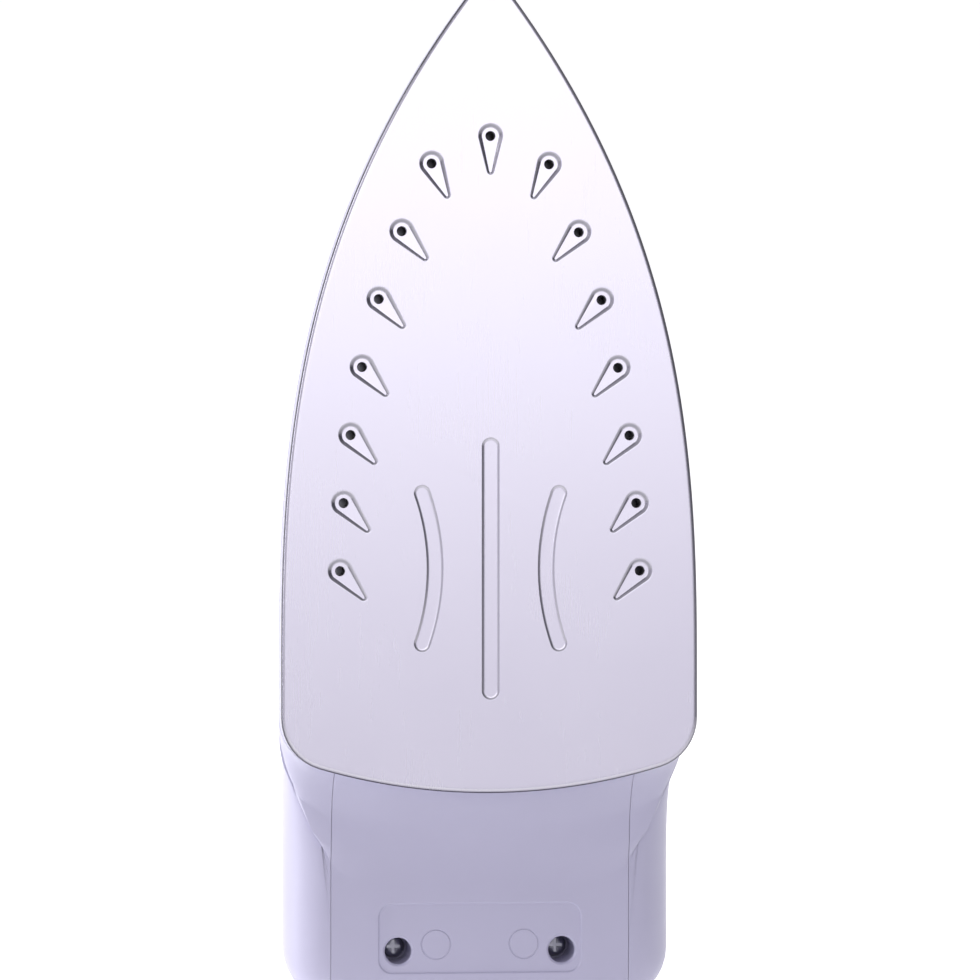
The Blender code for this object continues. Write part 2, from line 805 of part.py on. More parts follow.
def groove_outlines():
    half = GROOVE_WIDTH / 2
    outlines = [slot([(0, GROOVE_FROM_Y + half), (0, GROOVE_TO_Y - half)], GROOVE_WIDTH)]
    for side in (-1, 1):
        path = []
        for k in range(7):
            a = SIDE_GROOVE_SPAN * (k / 3 - 1)
            x = SIDE_GROOVE_X + SIDE_GROOVE_RADIUS * (1 - math.cos(a))
            path.append((side * x, SIDE_GROOVE_Y + SIDE_GROOVE_RADIUS * math.sin(a)))
        outlines.append(slot(path, SIDE_GROOVE_WIDTH))
    return outlines


def sole_skin():
    edge = sole_outline()
    sole = loft(
        [at_height(sole_outline(SOLE_BEVEL), 0), at_height(edge, SOLE_BEVEL), at_height(edge, TRAY_HEIGHT)]
    )
    cut(sole, prism(sole_outline(TRAY_WALL), SHEET, TRAY_HEIGHT + PAST))
    drops = [prism(drop_outline(*vent), -PAST, RECESS_DEPTH) for vent in vents()]
    grooves = [prism(outline, -PAST, RECESS_DEPTH) for outline in groove_outlines()]
    cut(sole, merged(drops + grooves), vent_holes(-PAST, SHEET + PAST))
    return finish(sole, "sole_plate", "steel")


def element_path():
    """The heating element's middle line: a U along the flanks, its ends turned up at the rear."""
    z = SHEET + PLAY + 1 * mm + ELEMENT_RADIUS + PLAY
    x = flank_at(ELEMENT_REAR_Y, ELEMENT_INSET)
    right = [
        Vector((x, ELEMENT_REAR_Y - 5.5 * mm, z + ELEMENT_RISE)),
        Vector((x, ELEMENT_REAR_Y - 4.5 * mm, z + 2.8 * mm)),
        Vector((x, ELEMENT_REAR_Y - 1.5 * mm, z + 0.4 * mm)),
    ]
    for k in range(6):
        y = ELEMENT_REAR_Y + 4 * mm + (ELEMENT_NOSE_Y - ELEMENT_REAR_Y - 4 * mm) * k / 5
        right.append(Vector((flank_at(y, ELEMENT_INSET), y, z)))
    nose_x = right[-1].x
    for a in (30, 60, 90):
        turn = math.radians(a)
        point = (nose_x * math.cos(turn), ELEMENT_NOSE_Y + ELEMENT_NOSE_REACH * math.sin(turn), z)
        right.append(Vector(point))
    return right + [Vector((-p.x, p.y, p.z)) for p in reversed(right[:-1])]


def heating_element():
    path = element_path()
    element = tube(path, ELEMENT_RADIUS, 1)
    for end in (path[0], path[-1]):
        join(element, upright(end.x, end.y, end.z - 2 * mm, end.z + PIN_LENGTH, PIN_RADIUS, 8))
    return finish(element, "heating_element", "aluminium")


def heater_casting():
    casting = prism(sole_outline(SKIRT_WALL + PLAY), SHEET + PLAY, CASTING_TOP)
    wall = prism(
        inner_outline(CHAMBER_INSET, CHAMBER_REAR_Y, CHAMBER_FRONT_Y), CASTING_TOP - 1 * mm, CHAMBER_TOP
    )
    inside = inner_outline(
        CHAMBER_INSET + CHAMBER_WALL, CHAMBER_REAR_Y + CHAMBER_WALL, CHAMBER_FRONT_Y - CHAMBER_WALL
    )
    cut(wall, prism(inside, CASTING_TOP - 2 * mm, CHAMBER_TOP + PAST))
    pad = upright(0, DIAL_Y, CASTING_TOP - 1 * mm, THERMOSTAT_PAD_Z, THERMOSTAT_PAD_RADIUS)
    path = element_path()
    ridge = tube([p + Vector((0, 0, 0.6 * mm)) for p in path[1:-1]], ELEMENT_RADIUS + PLAY + RIDGE_WALL, 1)
    join(casting, wall, pad, ridge)
    longer = [path[0] + Vector((0, 0, 9 * mm)), *path, path[-1] + Vector((0, 0, 9 * mm))]
    cut(casting, tube(longer, ELEMENT_RADIUS + PLAY, 1))
    cut(casting, vent_holes(0, CASTING_TOP + PAST))
    low, high = CASTING_TOP - 5 * mm, CASTING_TOP + PAST
    pilots = [upright(x, y, low, high, SCREW_PILOT, 8) for x, y in sole_screw_places()]
    cut(casting, merged(pilots))
    cut(casting, prism(sole_outline(-PAST), -PAST, SHEET + PLAY))
    return finish(casting, "heater_casting", "aluminium")


def sole_screw_places():
    x, y = SOLE_SCREW_REAR
    return [(0, SOLE_SCREW_NOSE_Y), (x, y), (-x, y)]


def chamber_seal():
    low, high = CHAMBER_TOP + PLAY, CHAMBER_TOP + PLAY + SEAL_THICKNESS
    seal = prism(inner_outline(CHAMBER_INSET, CHAMBER_REAR_Y, CHAMBER_FRONT_Y), low, high)
    inside = inner_outline(
        CHAMBER_INSET + CHAMBER_WALL, CHAMBER_REAR_Y + CHAMBER_WALL, CHAMBER_FRONT_Y - CHAMBER_WALL
    )
    cut(seal, prism(inside, low - PAST, high + PAST))
    return finish(seal, "chamber_seal", "silicone")


def lid_top():
    return CHAMBER_TOP + SEAL_THICKNESS + 2 * PLAY + LID_THICKNESS


def chamber_lid():
    low, high = lid_top() - LID_THICKNESS, lid_top()
    lid = prism(inner_outline(CHAMBER_INSET, CHAMBER_REAR_Y, CHAMBER_FRONT_Y), low, high)
    holes = [
        upright(0, DIAL_Y, low - PAST, high + PAST, THERMOSTAT_PAD_RADIUS + PLAY),
        upright(0, SELECTOR_Y, low - PAST, high + PAST, NEEDLE_RADIUS, 8),
        upright(*STEAM_HOSE, low - PAST, high + PAST, HOSE_RADIUS, 8),
    ]
    cut(lid, merged(holes))
    return finish(lid, "chamber_lid", "steel")


def thermostat():
    size = THERMOSTAT_SIZE
    low = THERMOSTAT_PAD_Z + PLAY
    case = box((-size.x / 2, DIAL_Y - size.y / 2, low), (size.x / 2, DIAL_Y + size.y / 2, low + size.z))
    join(case, upright(0, DIAL_Y, low + size.z - 1 * mm, low + size.z + 1.5 * mm, DIAL_SHAFT_RADIUS, 12))
    return finish(case, "thermostat", "ceramic")


def fuse_z():
    return CASTING_TOP + PLAY + FUSE_RADIUS


def thermal_fuse():
    half = FUSE_LENGTH / 2
    fuse = bar((-half, FUSE_Y, fuse_z()), (half, FUSE_Y, fuse_z()), FUSE_RADIUS, 12)
    return finish(fuse, "thermal_fuse", "brass")


def fuse_clip():
    half, z = CLIP_WIDTH / 2, fuse_z()
    inner = FUSE_RADIUS + PLAY
    outer = inner + CLIP_SHEET
    clip = bar((-half, FUSE_Y, z), (half, FUSE_Y, z), outer, 16)
    foot_z = CASTING_TOP + PLAY
    join(clip, box((-half, FUSE_Y - 2 * outer, foot_z), (half, FUSE_Y + 2 * outer, foot_z + CLIP_SHEET)))
    cut(clip, bar((-half - PAST, FUSE_Y, z), (half + PAST, FUSE_Y, z), inner, 16))
    below = box((-half - PAST, FUSE_Y - outer, 0), (half + PAST, FUSE_Y + outer, foot_z))
    cut(clip, below, box((-half - PAST, FUSE_Y - inner, 0), (half + PAST, FUSE_Y + inner, z)))
    return finish(clip, "fuse_clip", "steel")


def lug_solids(low, high):
    """The lugs that the three sole screws go through, before they are trimmed to the wall."""
    x, y = SOLE_SCREW_REAR
    reach = SOLE_HALF_WIDTH - 1 * mm
    nose = SOLE_SCREW_NOSE_Y
    return [
        box((-30 * mm, nose - BOSS_RADIUS, low), (30 * mm, nose + BOSS_RADIUS, high)),
        box((x - BOSS_RADIUS, y - BOSS_RADIUS, low), (reach, y + BOSS_RADIUS, high)),
        box((-reach, y - BOSS_RADIUS, low), (BOSS_RADIUS - x, y + BOSS_RADIUS, high)),
    ]


def lug_holes(low, high):
    places = sole_screw_places()
    return merged([upright(x, y, low - PAST, high + PAST, SCREW_CLEARANCE, 8) for x, y in places])


def skirt():
    low = CASTING_TOP + PLAY
    ring = prism(sole_outline(), TRAY_HEIGHT + PLAY, SKIRT_TOP)
    cut(ring, prism(sole_outline(SKIRT_WALL), 0, SKIRT_TOP + PAST))
    lugs = keep(merged(lug_solids(low, SKIRT_TOP)), prism(sole_outline(SKIRT_WALL / 2), 0, SKIRT_TOP + PAST))
    join(ring, lugs)
    cut(ring, lug_holes(low, SKIRT_TOP))
    return finish(ring, "skirt", "shell")


def sole_screws():
    seat = SKIRT_TOP + PLAY + LUG + PLAY
    for (x, y), name in zip(sole_screw_places(), ("nose", "right", "left")):
        finish(screw(x, y, seat, CASTING_TOP - 4.5 * mm), f"sole_screw_{name}", "steel")


# ---------------------------------------------------------------- the body


def filler_frame():
    """A matrix whose Z points out of the filler and whose Y points up the nose's slope."""
    return Matrix.Translation((0, FILLER_Y, FILLER_Z)) @ Matrix.Rotation(-FILLER_TILT, 4, "X") @ Matrix.Rotation(
        math.pi, 4, "Z"
    )


def in_filler_frame(piece):
    piece.data.transform(filler_frame())
    return piece


def filler_seat(grow=0.0):
    return in_filler_frame(upright(0, 0, -SEAT_DEPTH - grow, grow, SEAT_RADIUS + grow, 24))


def hinge_lugs():
    """Two lugs that carry the filler cap's pin."""
    lugs = []
    for side in (-1, 1):
        near = side * (BARREL_LENGTH / 2 + PLAY)
        far = near + side * LUG_WIDTH
        rear, front = HINGE_REACH - 2.2 * mm, HINGE_REACH + 2.2 * mm
        lug = box((min(near, far), rear, -LUG_DEPTH), (max(near, far), front, HINGE_RISE))
        join(lug, bar((near, HINGE_REACH, HINGE_RISE), (far, HINGE_REACH, HINGE_RISE), BARREL_RADIUS, 12))
        lugs.append(in_filler_frame(lug))
    return lugs


def hinge_bore(radius):
    half = BARREL_LENGTH / 2 + LUG_WIDTH + PAST
    return in_filler_frame(bar((-half, HINGE_REACH, HINGE_RISE), (half, HINGE_REACH, HINGE_RISE), radius, 12))


def cover_slab(gap=0.0):
    """The block that sets the rear cover apart from the body, made larger by a gap."""
    half, far = COVER_HALF_WIDTH + gap, 150 * mm
    return box((-half, -far, 0), (half, COVER_FRONT_Y + gap, COVER_TOP_Z + gap))


def dial_floor():
    return DECK_Z - (DIAL_HEIGHT - DIAL_PROUD) - RUN_PLAY


def body_shell():
    shell = join(body_solid(), filler_seat())
    cut(shell, cut(body_cavity(), filler_seat()))
    cut(shell, cover_slab(PLAY))
    low = SKIRT_TOP + PLAY
    lugs = keep(
        merged(lug_solids(low, low + LUG)), prism(body_outline(low, WALL / 2), low - PAST, low + LUG + PAST)
    )
    well = upright(0, DIAL_Y, dial_floor() - WALL, DECK_Z - 1 * mm, DIAL_RADIUS + RUN_PLAY + WALL, 24)
    bosses = [
        upright(side * COVER_SCREW_X, COVER_SCREW_Y, cover_seat_top() + PLAY, DECK_Z - 1 * mm, BOSS_RADIUS, 12)
        for side in (-1, 1)
    ]
    join(shell, lugs, well, *bosses, *hinge_lugs())
    cut(shell, lug_holes(low, low + LUG))
    cut(shell, upright(0, DIAL_Y, dial_floor(), DECK_Z + PAST, DIAL_RADIUS + RUN_PLAY, 24))
    far = DECK_Z + PAST
    holes = [
        upright(0, DIAL_Y, DECK_Z - 20 * mm, DECK_Z, DIAL_SHAFT_RADIUS + RUN_PLAY, 12),
        upright(0, CLEAN_Y, DECK_Z - 6 * mm, far, CLEAN_RADIUS + RUN_PLAY),
        upright(0, SELECTOR_Y, DECK_Z - 6 * mm, far, NEEDLE_RADIUS + RUN_PLAY, 12),
        upright(*STEAM_HOSE, DECK_Z - 6 * mm, far, HOSE_RADIUS + PLAY, 12),
        upright(0, CABLE_Y, DECK_Z - 6 * mm, far, CABLE_HOLE_RADIUS),
    ]
    for side in (-1, 1):
        x, y = HANDLE_SCREW
        holes.append(upright(side * x, y, DECK_Z - 6 * mm, far, SCREW_CLEARANCE, 8))
        x, y = side * COVER_SCREW_X, COVER_SCREW_Y
        holes.append(upright(x, y, cover_seat_top() - PAST, cover_seat_top() + 9 * mm, SCREW_PILOT, 8))
    cut(shell, merged(holes))
    bore = in_filler_frame(upright(0, 0, -30 * mm, 10 * mm, FILLER_RADIUS, 20))
    cut(shell, bore, hinge_bore(HINGE_PIN_RADIUS + PLAY))
    return finish(shell, "body_shell", "shell")


def cover_seat_top():
    return TAIL_Z + COVER_BORE_DEPTH + COVER_SEAT


def rear_cover():
    cover = cut(body_solid(), body_cavity())
    keep(cover, cover_slab())
    top = cover_seat_top()
    bosses, bores = [], []
    for side in (-1, 1):
        x, y = side * COVER_SCREW_X, COVER_SCREW_Y
        bosses.append(upright(x, y, TAIL_Z + 1 * mm, top, COVER_BOSS_RADIUS, 16))
        bores.append(upright(x, y, TAIL_Z - PAST, top - COVER_SEAT, COVER_BORE_RADIUS, 16))
        bores.append(upright(x, y, top - COVER_SEAT - 1 * mm, top + PAST, SCREW_CLEARANCE, 8))
    join(cover, *bosses)
    cut(cover, *bores)
    panel = rounded_rectangle(PANEL_WIDTH, PANEL_LENGTH, PANEL_CORNER, (0, PANEL_MIDDLE_Y), 3)
    cut(cover, prism(panel, 0, TAIL_Z + PANEL_DEPTH))
    return finish(cover, "rear_cover", "shell")


def cover_screws():
    for side, name in ((-1, "left"), (1, "right")):
        seat = cover_seat_top() - COVER_SEAT - PLAY
        made = screw(side * COVER_SCREW_X, COVER_SCREW_Y, seat, cover_seat_top() + 8 * mm, -1)
        finish(made, f"cover_screw_{name}", "steel")


def cavity_block(shrink, low, high, rear_y):
    """Part of the space in the body, made smaller by a distance and cut off at flat planes."""
    wide = 300 * mm
    return keep(body_cavity(shrink, False), box((-wide, rear_y, low), (wide, wide, high)))


def tank_top():
    return DECK_Z - WALL - PLAY


def tank():
    low, high = TANK_FLOOR_Z + TANK_FLOOR + PLAY, tank_top()
    made = cavity_block(PLAY, low, high, TANK_REAR_Y)
    cut(made, cavity_block(PLAY + TANK_WALL, low - PAST, high - TANK_WALL, TANK_REAR_Y + TANK_WALL))
    well_radius = DIAL_RADIUS + RUN_PLAY + WALL + PLAY
    well_z = dial_floor() - WALL - PLAY
    lowered = [
        upright(0, DIAL_Y, well_z - TANK_WALL, high - 0.5 * mm, well_radius + TANK_WALL, 24),
        upright(0, CLEAN_Y, CLEAN_POCKET_Z - TANK_WALL, high - 0.5 * mm, CLEAN_RADIUS + 3 * mm),
        upright(0, DIAL_Y, low, well_z - 1 * mm, DIAL_SHAFT_RADIUS + RUN_PLAY + TUBE_WALL, 12),
        upright(*STEAM_HOSE, low, high - 1 * mm, HOSE_RADIUS + PLAY + TUBE_WALL, 12),
    ]
    join(made, *lowered)
    cut(made, upright(0, DIAL_Y, well_z, high + PAST, well_radius, 24))
    cut(made, upright(0, CLEAN_Y, CLEAN_POCKET_Z, high + PAST, CLEAN_RADIUS + 1 * mm))
    holes = [
        upright(0, DIAL_Y, low - PAST, high, DIAL_SHAFT_RADIUS + RUN_PLAY, 12),
        upright(0, CLEAN_Y, low + PAST, high, CLEAN_STEM_RADIUS + RUN_PLAY, 12),
        upright(0, SELECTOR_Y, low + PAST, high + PAST, NEEDLE_RADIUS + RUN_PLAY, 12),
        upright(*STEAM_HOSE, low - PAST, high + PAST, HOSE_RADIUS + PLAY, 12),
    ]
    cut(made, merged(holes))
    cut(made, filler_seat(PLAY))
    return finish(made, "water_tank", "tank")


def tank_floor():
    low, high = TANK_FLOOR_Z, TANK_FLOOR_Z + TANK_FLOOR
    made = cavity_block(PLAY, low, high, TANK_REAR_Y)
    holes = [
        upright(0, DIAL_Y, low - PAST, high + PAST, DIAL_SHAFT_RADIUS + RUN_PLAY, 12),
        upright(0, CLEAN_Y, low - PAST, high + PAST, CLEAN_STEM_RADIUS + RUN_PLAY, 12),
        upright(0, SELECTOR_Y, low - PAST, high + PAST, NEEDLE_RADIUS + RUN_PLAY, 12),
        upright(*STEAM_HOSE, low - PAST, high + PAST, HOSE_RADIUS + PLAY, 12),
    ]
    cut(made, merged(holes), filler_seat(PLAY))
    return finish(made, "tank_floor", "tank")


def valve_seat():
    low, high = lid_top() + PLAY, TANK_FLOOR_Z - PLAY
    made = upright(0, SELECTOR_Y, low, high, VALVE_RADIUS, 16)
    cut(made, upright(0, SELECTOR_Y, low - PAST, high + PAST, NEEDLE_RADIUS + RUN_PLAY, 12))
    return finish(made, "valve_seat", "silicone")


def terminal_block():
    size, low = TERMINAL_SIZE, TAIL_Z + WALL + 2 * PLAY
    rear, front = TERMINAL_Y - size.y / 2, TERMINAL_Y + size.y / 2
    made = box((-size.x / 2, rear, low), (size.x / 2, front, low + size.z))
    notch = 3 * mm
    for x in (-size.x / 6, size.x / 6):
        cut(made, box((x - 0.8 * mm, -80 * mm, low + size.z - notch), (x + 0.8 * mm, 0, low + size.z + PAST)))
    return finish(made, "terminal_block", "ceramic")


def leads():
    """The wires from the terminal block to the thermostat and the element, and to the fuse."""
    front = TERMINAL_Y + TERMINAL_SIZE.y / 2 + PLAY
    z = TAIL_Z + WALL + TERMINAL_SIZE.z / 2
    pin = element_path()[0]
    pin_top = pin.z + PIN_LENGTH + PLAY
    thermostat_rear = DIAL_Y - THERMOSTAT_SIZE.y / 2 - PLAY
    between = (lid_top() + TANK_FLOOR_Z) / 2
    straight = 3 * mm
    live = [
        (0, front, z),
        (0, front + straight, z),
        (2 * mm, 4 * mm, z - 6 * mm),
        (5 * mm, 24 * mm, between),
        (5 * mm, thermostat_rear - straight, between),
        (5 * mm, thermostat_rear, between),
    ]
    neutral = [
        (12 * mm, front, z),
        (12 * mm, front + straight, z),
        (24 * mm, -4 * mm, z),
        (pin.x, pin.y, pin_top + straight),
        (pin.x, pin.y, pin_top),
    ]
    fuse_end = -FUSE_LENGTH / 2 - PLAY
    fused = [
        (fuse_end, FUSE_Y, fuse_z()),
        (fuse_end - straight, FUSE_Y, fuse_z()),
        (8 * mm - pin.x, FUSE_Y - 6 * mm, pin_top - 2 * mm),
        (-pin.x, pin.y, pin_top + straight),
        (-pin.x, pin.y, pin_top),
    ]
    for name, points in (("lead_live", live), ("lead_neutral", neutral), ("lead_fuse", fused)):
        finish(tube(held_path(points), LEAD_RADIUS, 1), name, "lead")


# ---------------------------------------------------------------- controls in the deck


def dial():
    def ring(radius, z):
        points = []
        for k in range(2 * DIAL_RIDGES):
            a = math.pi * k / DIAL_RIDGES
            r = radius - (k % 2) * DIAL_RIDGE_DEPTH
            points.append((r * math.cos(a), DIAL_Y + r * math.sin(a), z))
        return points

    low = dial_floor() + RUN_PLAY
    made = loft(
        [
            ring(DIAL_RADIUS, low),
            ring(DIAL_RADIUS, low + DIAL_HEIGHT - 2 * mm),
            ring(DIAL_RADIUS - 1.8 * mm, low + DIAL_HEIGHT),
        ]
    )
    cut(made, upright(0, DIAL_Y, low - PAST, low + DIAL_HEIGHT / 2, DIAL_SHAFT_RADIUS + PLAY, 12))
    return finish(made, "temperature_dial", "grip")


def dial_shaft():
    low = THERMOSTAT_PAD_Z + PLAY + THERMOSTAT_SIZE.z + 1.5 * mm + PLAY
    made = upright(0, DIAL_Y, low, dial_floor() + DIAL_HEIGHT / 2, DIAL_SHAFT_RADIUS, 12)
    return finish(made, "dial_shaft", "brass")


def clean_button():
    made = upright(0, CLEAN_Y, CLEAN_BOTTOM_Z, DECK_Z + CLEAN_PROUD, CLEAN_RADIUS)
    join(made, upright(0, CLEAN_Y, TANK_FLOOR_Z - 1 * mm, CLEAN_BOTTOM_Z + 1 * mm, CLEAN_STEM_RADIUS, 12))
    return finish(made, "self_clean_button", "grip")


def clean_spring():
    low, high = CLEAN_POCKET_Z + SPRING_WIRE + PLAY, CLEAN_BOTTOM_Z - SPRING_WIRE - PLAY
    return finish(helix(0, CLEAN_Y, low, high, CLEAN_STEM_RADIUS + 2 * mm), "self_clean_spring", "steel")


# ---------------------------------------------------------------- the handle


def below_parting(gap=PLAY / 2):
    return box((-90 * mm, -150 * mm, 0), (90 * mm, 250 * mm, PARTING_Z - gap))


def gland_middle():
    return Vector((0, GLAND_Y, GLAND_Z))


def gland_direction(swing=0.0):
    return Vector((0, -math.sin(GLAND_TILT + swing), math.cos(GLAND_TILT + swing)))


def gland_block():
    """A block across the handle that holds the gland's ball."""
    reach = GLAND_RADIUS + 3.5 * mm
    low, high = PARTING_Z - 11 * mm, PARTING_Z + 30 * mm
    block = box((-40 * mm, GLAND_Y - reach, low), (40 * mm, GLAND_Y + reach, high))
    return keep(block, arch(HANDLE_WALL / 2))


def gland_slot():
    """The slot that the gland's collar swings in."""
    far = 26 * mm
    half = COLLAR_RADIUS + RUN_PLAY
    middle = gland_middle()
    rear, front, straight = (gland_direction(a) for a in (GLAND_SWING, -GLAND_SWING, 0))
    side_rear = Vector((0, -rear.z, rear.y)) * half
    side_front = Vector((0, front.z, -front.y)) * half
    points = [
        middle + side_rear,
        middle + rear * far + side_rear,
        middle + straight * far * 1.3,
        middle + front * far + side_front,
        middle + side_front,
    ]
    return side_prism([(p.y, p.z) for p in points], -half, half)


def cord_gland():
    middle, out = gland_middle(), gland_direction()
    made = ball(middle, GLAND_RADIUS)
    join(made, bar(middle + out * 3 * mm, middle + out * (GLAND_RADIUS + COLLAR_LENGTH), COLLAR_RADIUS, 16))
    cut(made, bar(middle - out * 2 * GLAND_RADIUS, middle + out * 3 * GLAND_RADIUS, CORD_BORE_RADIUS, 12))
    return finish(made, "cord_gland", "grip")


def pump_places():
    return ((BUTTON_X, "spray"), (-BUTTON_X, "steam"))


def handle_form():
    """The whole handle: hollow, with the gland's block, trimmed to the deck and the heel rest."""
    made = cut(arch(), body_solid(PLAY))
    cut(made, arch(HANDLE_WALL))
    join(made, gland_block())
    return cut(made, behind_heel_plane())


def handle_lower():
    made = keep(handle_form(), below_parting())
    x, y = HANDLE_SCREW
    low = DECK_Z + PLAY
    extras = []
    for side in (-1, 1):
        boss = upright(side * x, y, low - PAST, low + HANDLE_BOSS_HEIGHT, BOSS_RADIUS, 12)
        near, far = sorted((side * x, side * (x + 7.5 * mm)))
        high = low + HANDLE_BOSS_HEIGHT
        join(boss, box((near, y - 1.5 * mm, low - PAST), (far, y + 1.5 * mm, high - 1 * mm)))
        cut(boss, box((-80 * mm, -80 * mm, 0), (80 * mm, 80 * mm, low)))
        extras.append(keep(boss, arch(HANDLE_WALL / 2)))
    shelf_top = PUMP_FROM_Z - PLAY
    front = BUTTON_Y + PUMP_RADIUS + 1.5 * mm
    shelf = box((-50 * mm, 100 * mm, shelf_top - SHELF), (50 * mm, front, shelf_top))
    extras.append(keep(shelf, arch(HANDLE_WALL / 2)))
    join(made, *extras)
    pilot_top = low + HANDLE_BOSS_HEIGHT - 2 * mm
    pilots = [upright(side * x, y, low - PAST, pilot_top, SCREW_PILOT, 8) for side in (-1, 1)]
    cut(made, merged(pilots), filler_clearance())
    cut(made, ball(gland_middle(), GLAND_RADIUS + RUN_PLAY))
    cut(made, upright(0, GLAND_Y, PARTING_Z - 20 * mm, GLAND_Z, CORD_BORE_RADIUS + 1 * mm, 12))
    nozzle_rear, nozzle_front = NOZZLE_FRONT_Y - 30 * mm, NOZZLE_FRONT_Y + PAST
    nozzle = bar((0, nozzle_rear, NOZZLE_Z), (0, nozzle_front, NOZZLE_Z), NOZZLE_RADIUS + PLAY, 16)
    cut(made, nozzle)
    return finish(made, "handle_lower", "shell")


def filler_clearance():
    """Room for the filler cap's hinge in front of the handle's foot."""
    half = BARREL_LENGTH / 2 + LUG_WIDTH + 1 * mm
    room = box((-half, HINGE_REACH - 30 * mm, -20 * mm), (half, HINGE_REACH + 3.6 * mm, 40 * mm))
    return in_filler_frame(room)


def handle_screws():
    seat = DECK_Z - WALL - PLAY
    x, y = HANDLE_SCREW
    for side, name in ((-1, "left"), (1, "right")):
        made = screw(side * x, y, seat, DECK_Z + PLAY + HANDLE_BOSS_HEIGHT - 2.5 * mm, -1)
        finish(made, f"handle_screw_{name}", "steel")


def grip_block(gap=0.0):
    half = GRIP_HALF_WIDTH + gap
    middle = (GRIP_FROM_Y + GRIP_TO_Y) / 2
    outline = rounded_rectangle(2 * half, GRIP_TO_Y - GRIP_FROM_Y + 2 * gap, half - 2 * mm, (0, middle), 4)
    return prism(outline, PARTING_Z + 3 * mm, PARTING_Z + 40 * mm)


def grip_insert():
    made = keep(arch(), grip_block())
    cut(made, arch(GRIP_DEPTH))
    return finish(made, "grip_insert", "grip")


def button_outline(gap=0.0):
    def at(x):
        return rounded_rectangle(
            BUTTON_WIDTH + 2 * gap, BUTTON_LENGTH + 2 * gap, BUTTON_CORNER + gap, (x, BUTTON_Y), 3
        )

    return at


def handle_upper():
    made = cut(handle_form(), below_parting(-PLAY / 2))
    turret = upright(0, SELECTOR_Y, PARTING_Z + 3 * mm, SELECTOR_SEAT_Z - RUN_PLAY, TURRET_RADIUS, 20)
    join(made, turret)
    cut(made, cut(grip_block(PLAY), arch(GRIP_DEPTH + PLAY)))
    for x, _ in pump_places():
        cut(made, prism(button_outline(RUN_PLAY)(x), PARTING_Z, BUTTON_TOP_Z + PAST))
    neck_radius = SELECTOR_NECK_RADIUS + RUN_PLAY
    neck = upright(0, SELECTOR_Y, PARTING_Z - PAST, SELECTOR_SEAT_Z + PAST, neck_radius, 16)
    window = upright(0, PILOT_Y, PARTING_Z, 140 * mm, PILOT_RADIUS + PLAY, 12)
    cut(made, neck, window)
    cut(made, ball(gland_middle(), GLAND_RADIUS + RUN_PLAY), gland_slot())
    return finish(made, "handle_upper", "shell")


def handle_top_z(y):
    """Height of the handle's outer line at y."""
    line = sorted((rib[1][0], rib[1][1]) for rib in RIBS if rib[1][1] > 120)
    return float(np.interp(y / mm, [p[0] for p in line], [p[1] for p in line])) * mm


def pilot_light():
    top = handle_top_z(PILOT_Y)
    inner = top - HANDLE_WALL
    lens = upright(0, PILOT_Y, inner - 2 * mm, top + PILOT_PROUD, PILOT_RADIUS, 12)
    join(lens, upright(0, PILOT_Y, inner - 2.4 * mm, inner - 0.6 * mm, PILOT_RADIUS + 1.4 * mm, 12))
    finish(lens, "pilot_lens", "lens")
    lamp = cone((0, PILOT_Y, inner - 12 * mm), (0, PILOT_Y, inner - 2.8 * mm), 2.4 * mm, 1.6 * mm, 12)
    finish(lamp, "pilot_lamp", "ceramic")


# ---------------------------------------------------------------- pumps, hoses and selector


def stem_end_z():
    return PISTON_Z + 0.5 * mm


def buttons():
    for x, name in pump_places():
        low = BUTTON_TOP_Z - BUTTON_HEIGHT
        at = button_outline()(x)
        top = inset(at[::-1], 1.2 * mm)[::-1]
        made = loft([at_height(at, low), at_height(at, BUTTON_TOP_Z - 1.2 * mm), at_height(top, BUTTON_TOP_Z)])
        join(made, upright(x, BUTTON_Y, stem_end_z(), low + 1 * mm, BUTTON_STEM_RADIUS, 12))
        finish(made, f"{name}_button", "grip")


def pistons():
    for x, name in pump_places():
        low, high = PISTON_Z - PISTON_HEIGHT / 2, PISTON_Z + PISTON_HEIGHT / 2
        made = upright(x, BUTTON_Y, low, high, PISTON_RADIUS, 16)
        cut(made, upright(x, BUTTON_Y, stem_end_z() - PLAY, high + PAST, BUTTON_STEM_RADIUS + PLAY, 12))
        finish(made, f"{name}_piston", "silicone")


def pumps():
    for x, name in pump_places():
        made = upright(x, BUTTON_Y, PUMP_FROM_Z, PUMP_TO_Z, PUMP_RADIUS, 20)
        cut(made, upright(x, BUTTON_Y, PUMP_FROM_Z + PUMP_FLOOR, PUMP_TO_Z + PAST, PUMP_BORE, 20))
        outlet_end = (x, BUTTON_Y + PUMP_RADIUS + PAST, PUMP_OUTLET_Z)
        outlet = bar((x, BUTTON_Y, PUMP_OUTLET_Z), outlet_end, HOSE_RADIUS - 0.6 * mm, 8)
        cut(made, outlet)
        finish(made, f"{name}_pump", "tank")


def pump_springs():
    low = PUMP_FROM_Z + PUMP_FLOOR + SPRING_WIRE + PLAY
    high = PISTON_Z - PISTON_HEIGHT / 2 - SPRING_WIRE - PLAY
    for x, name in pump_places():
        finish(helix(x, BUTTON_Y, low, high, SPRING_RADIUS), f"{name}_spring", "steel")


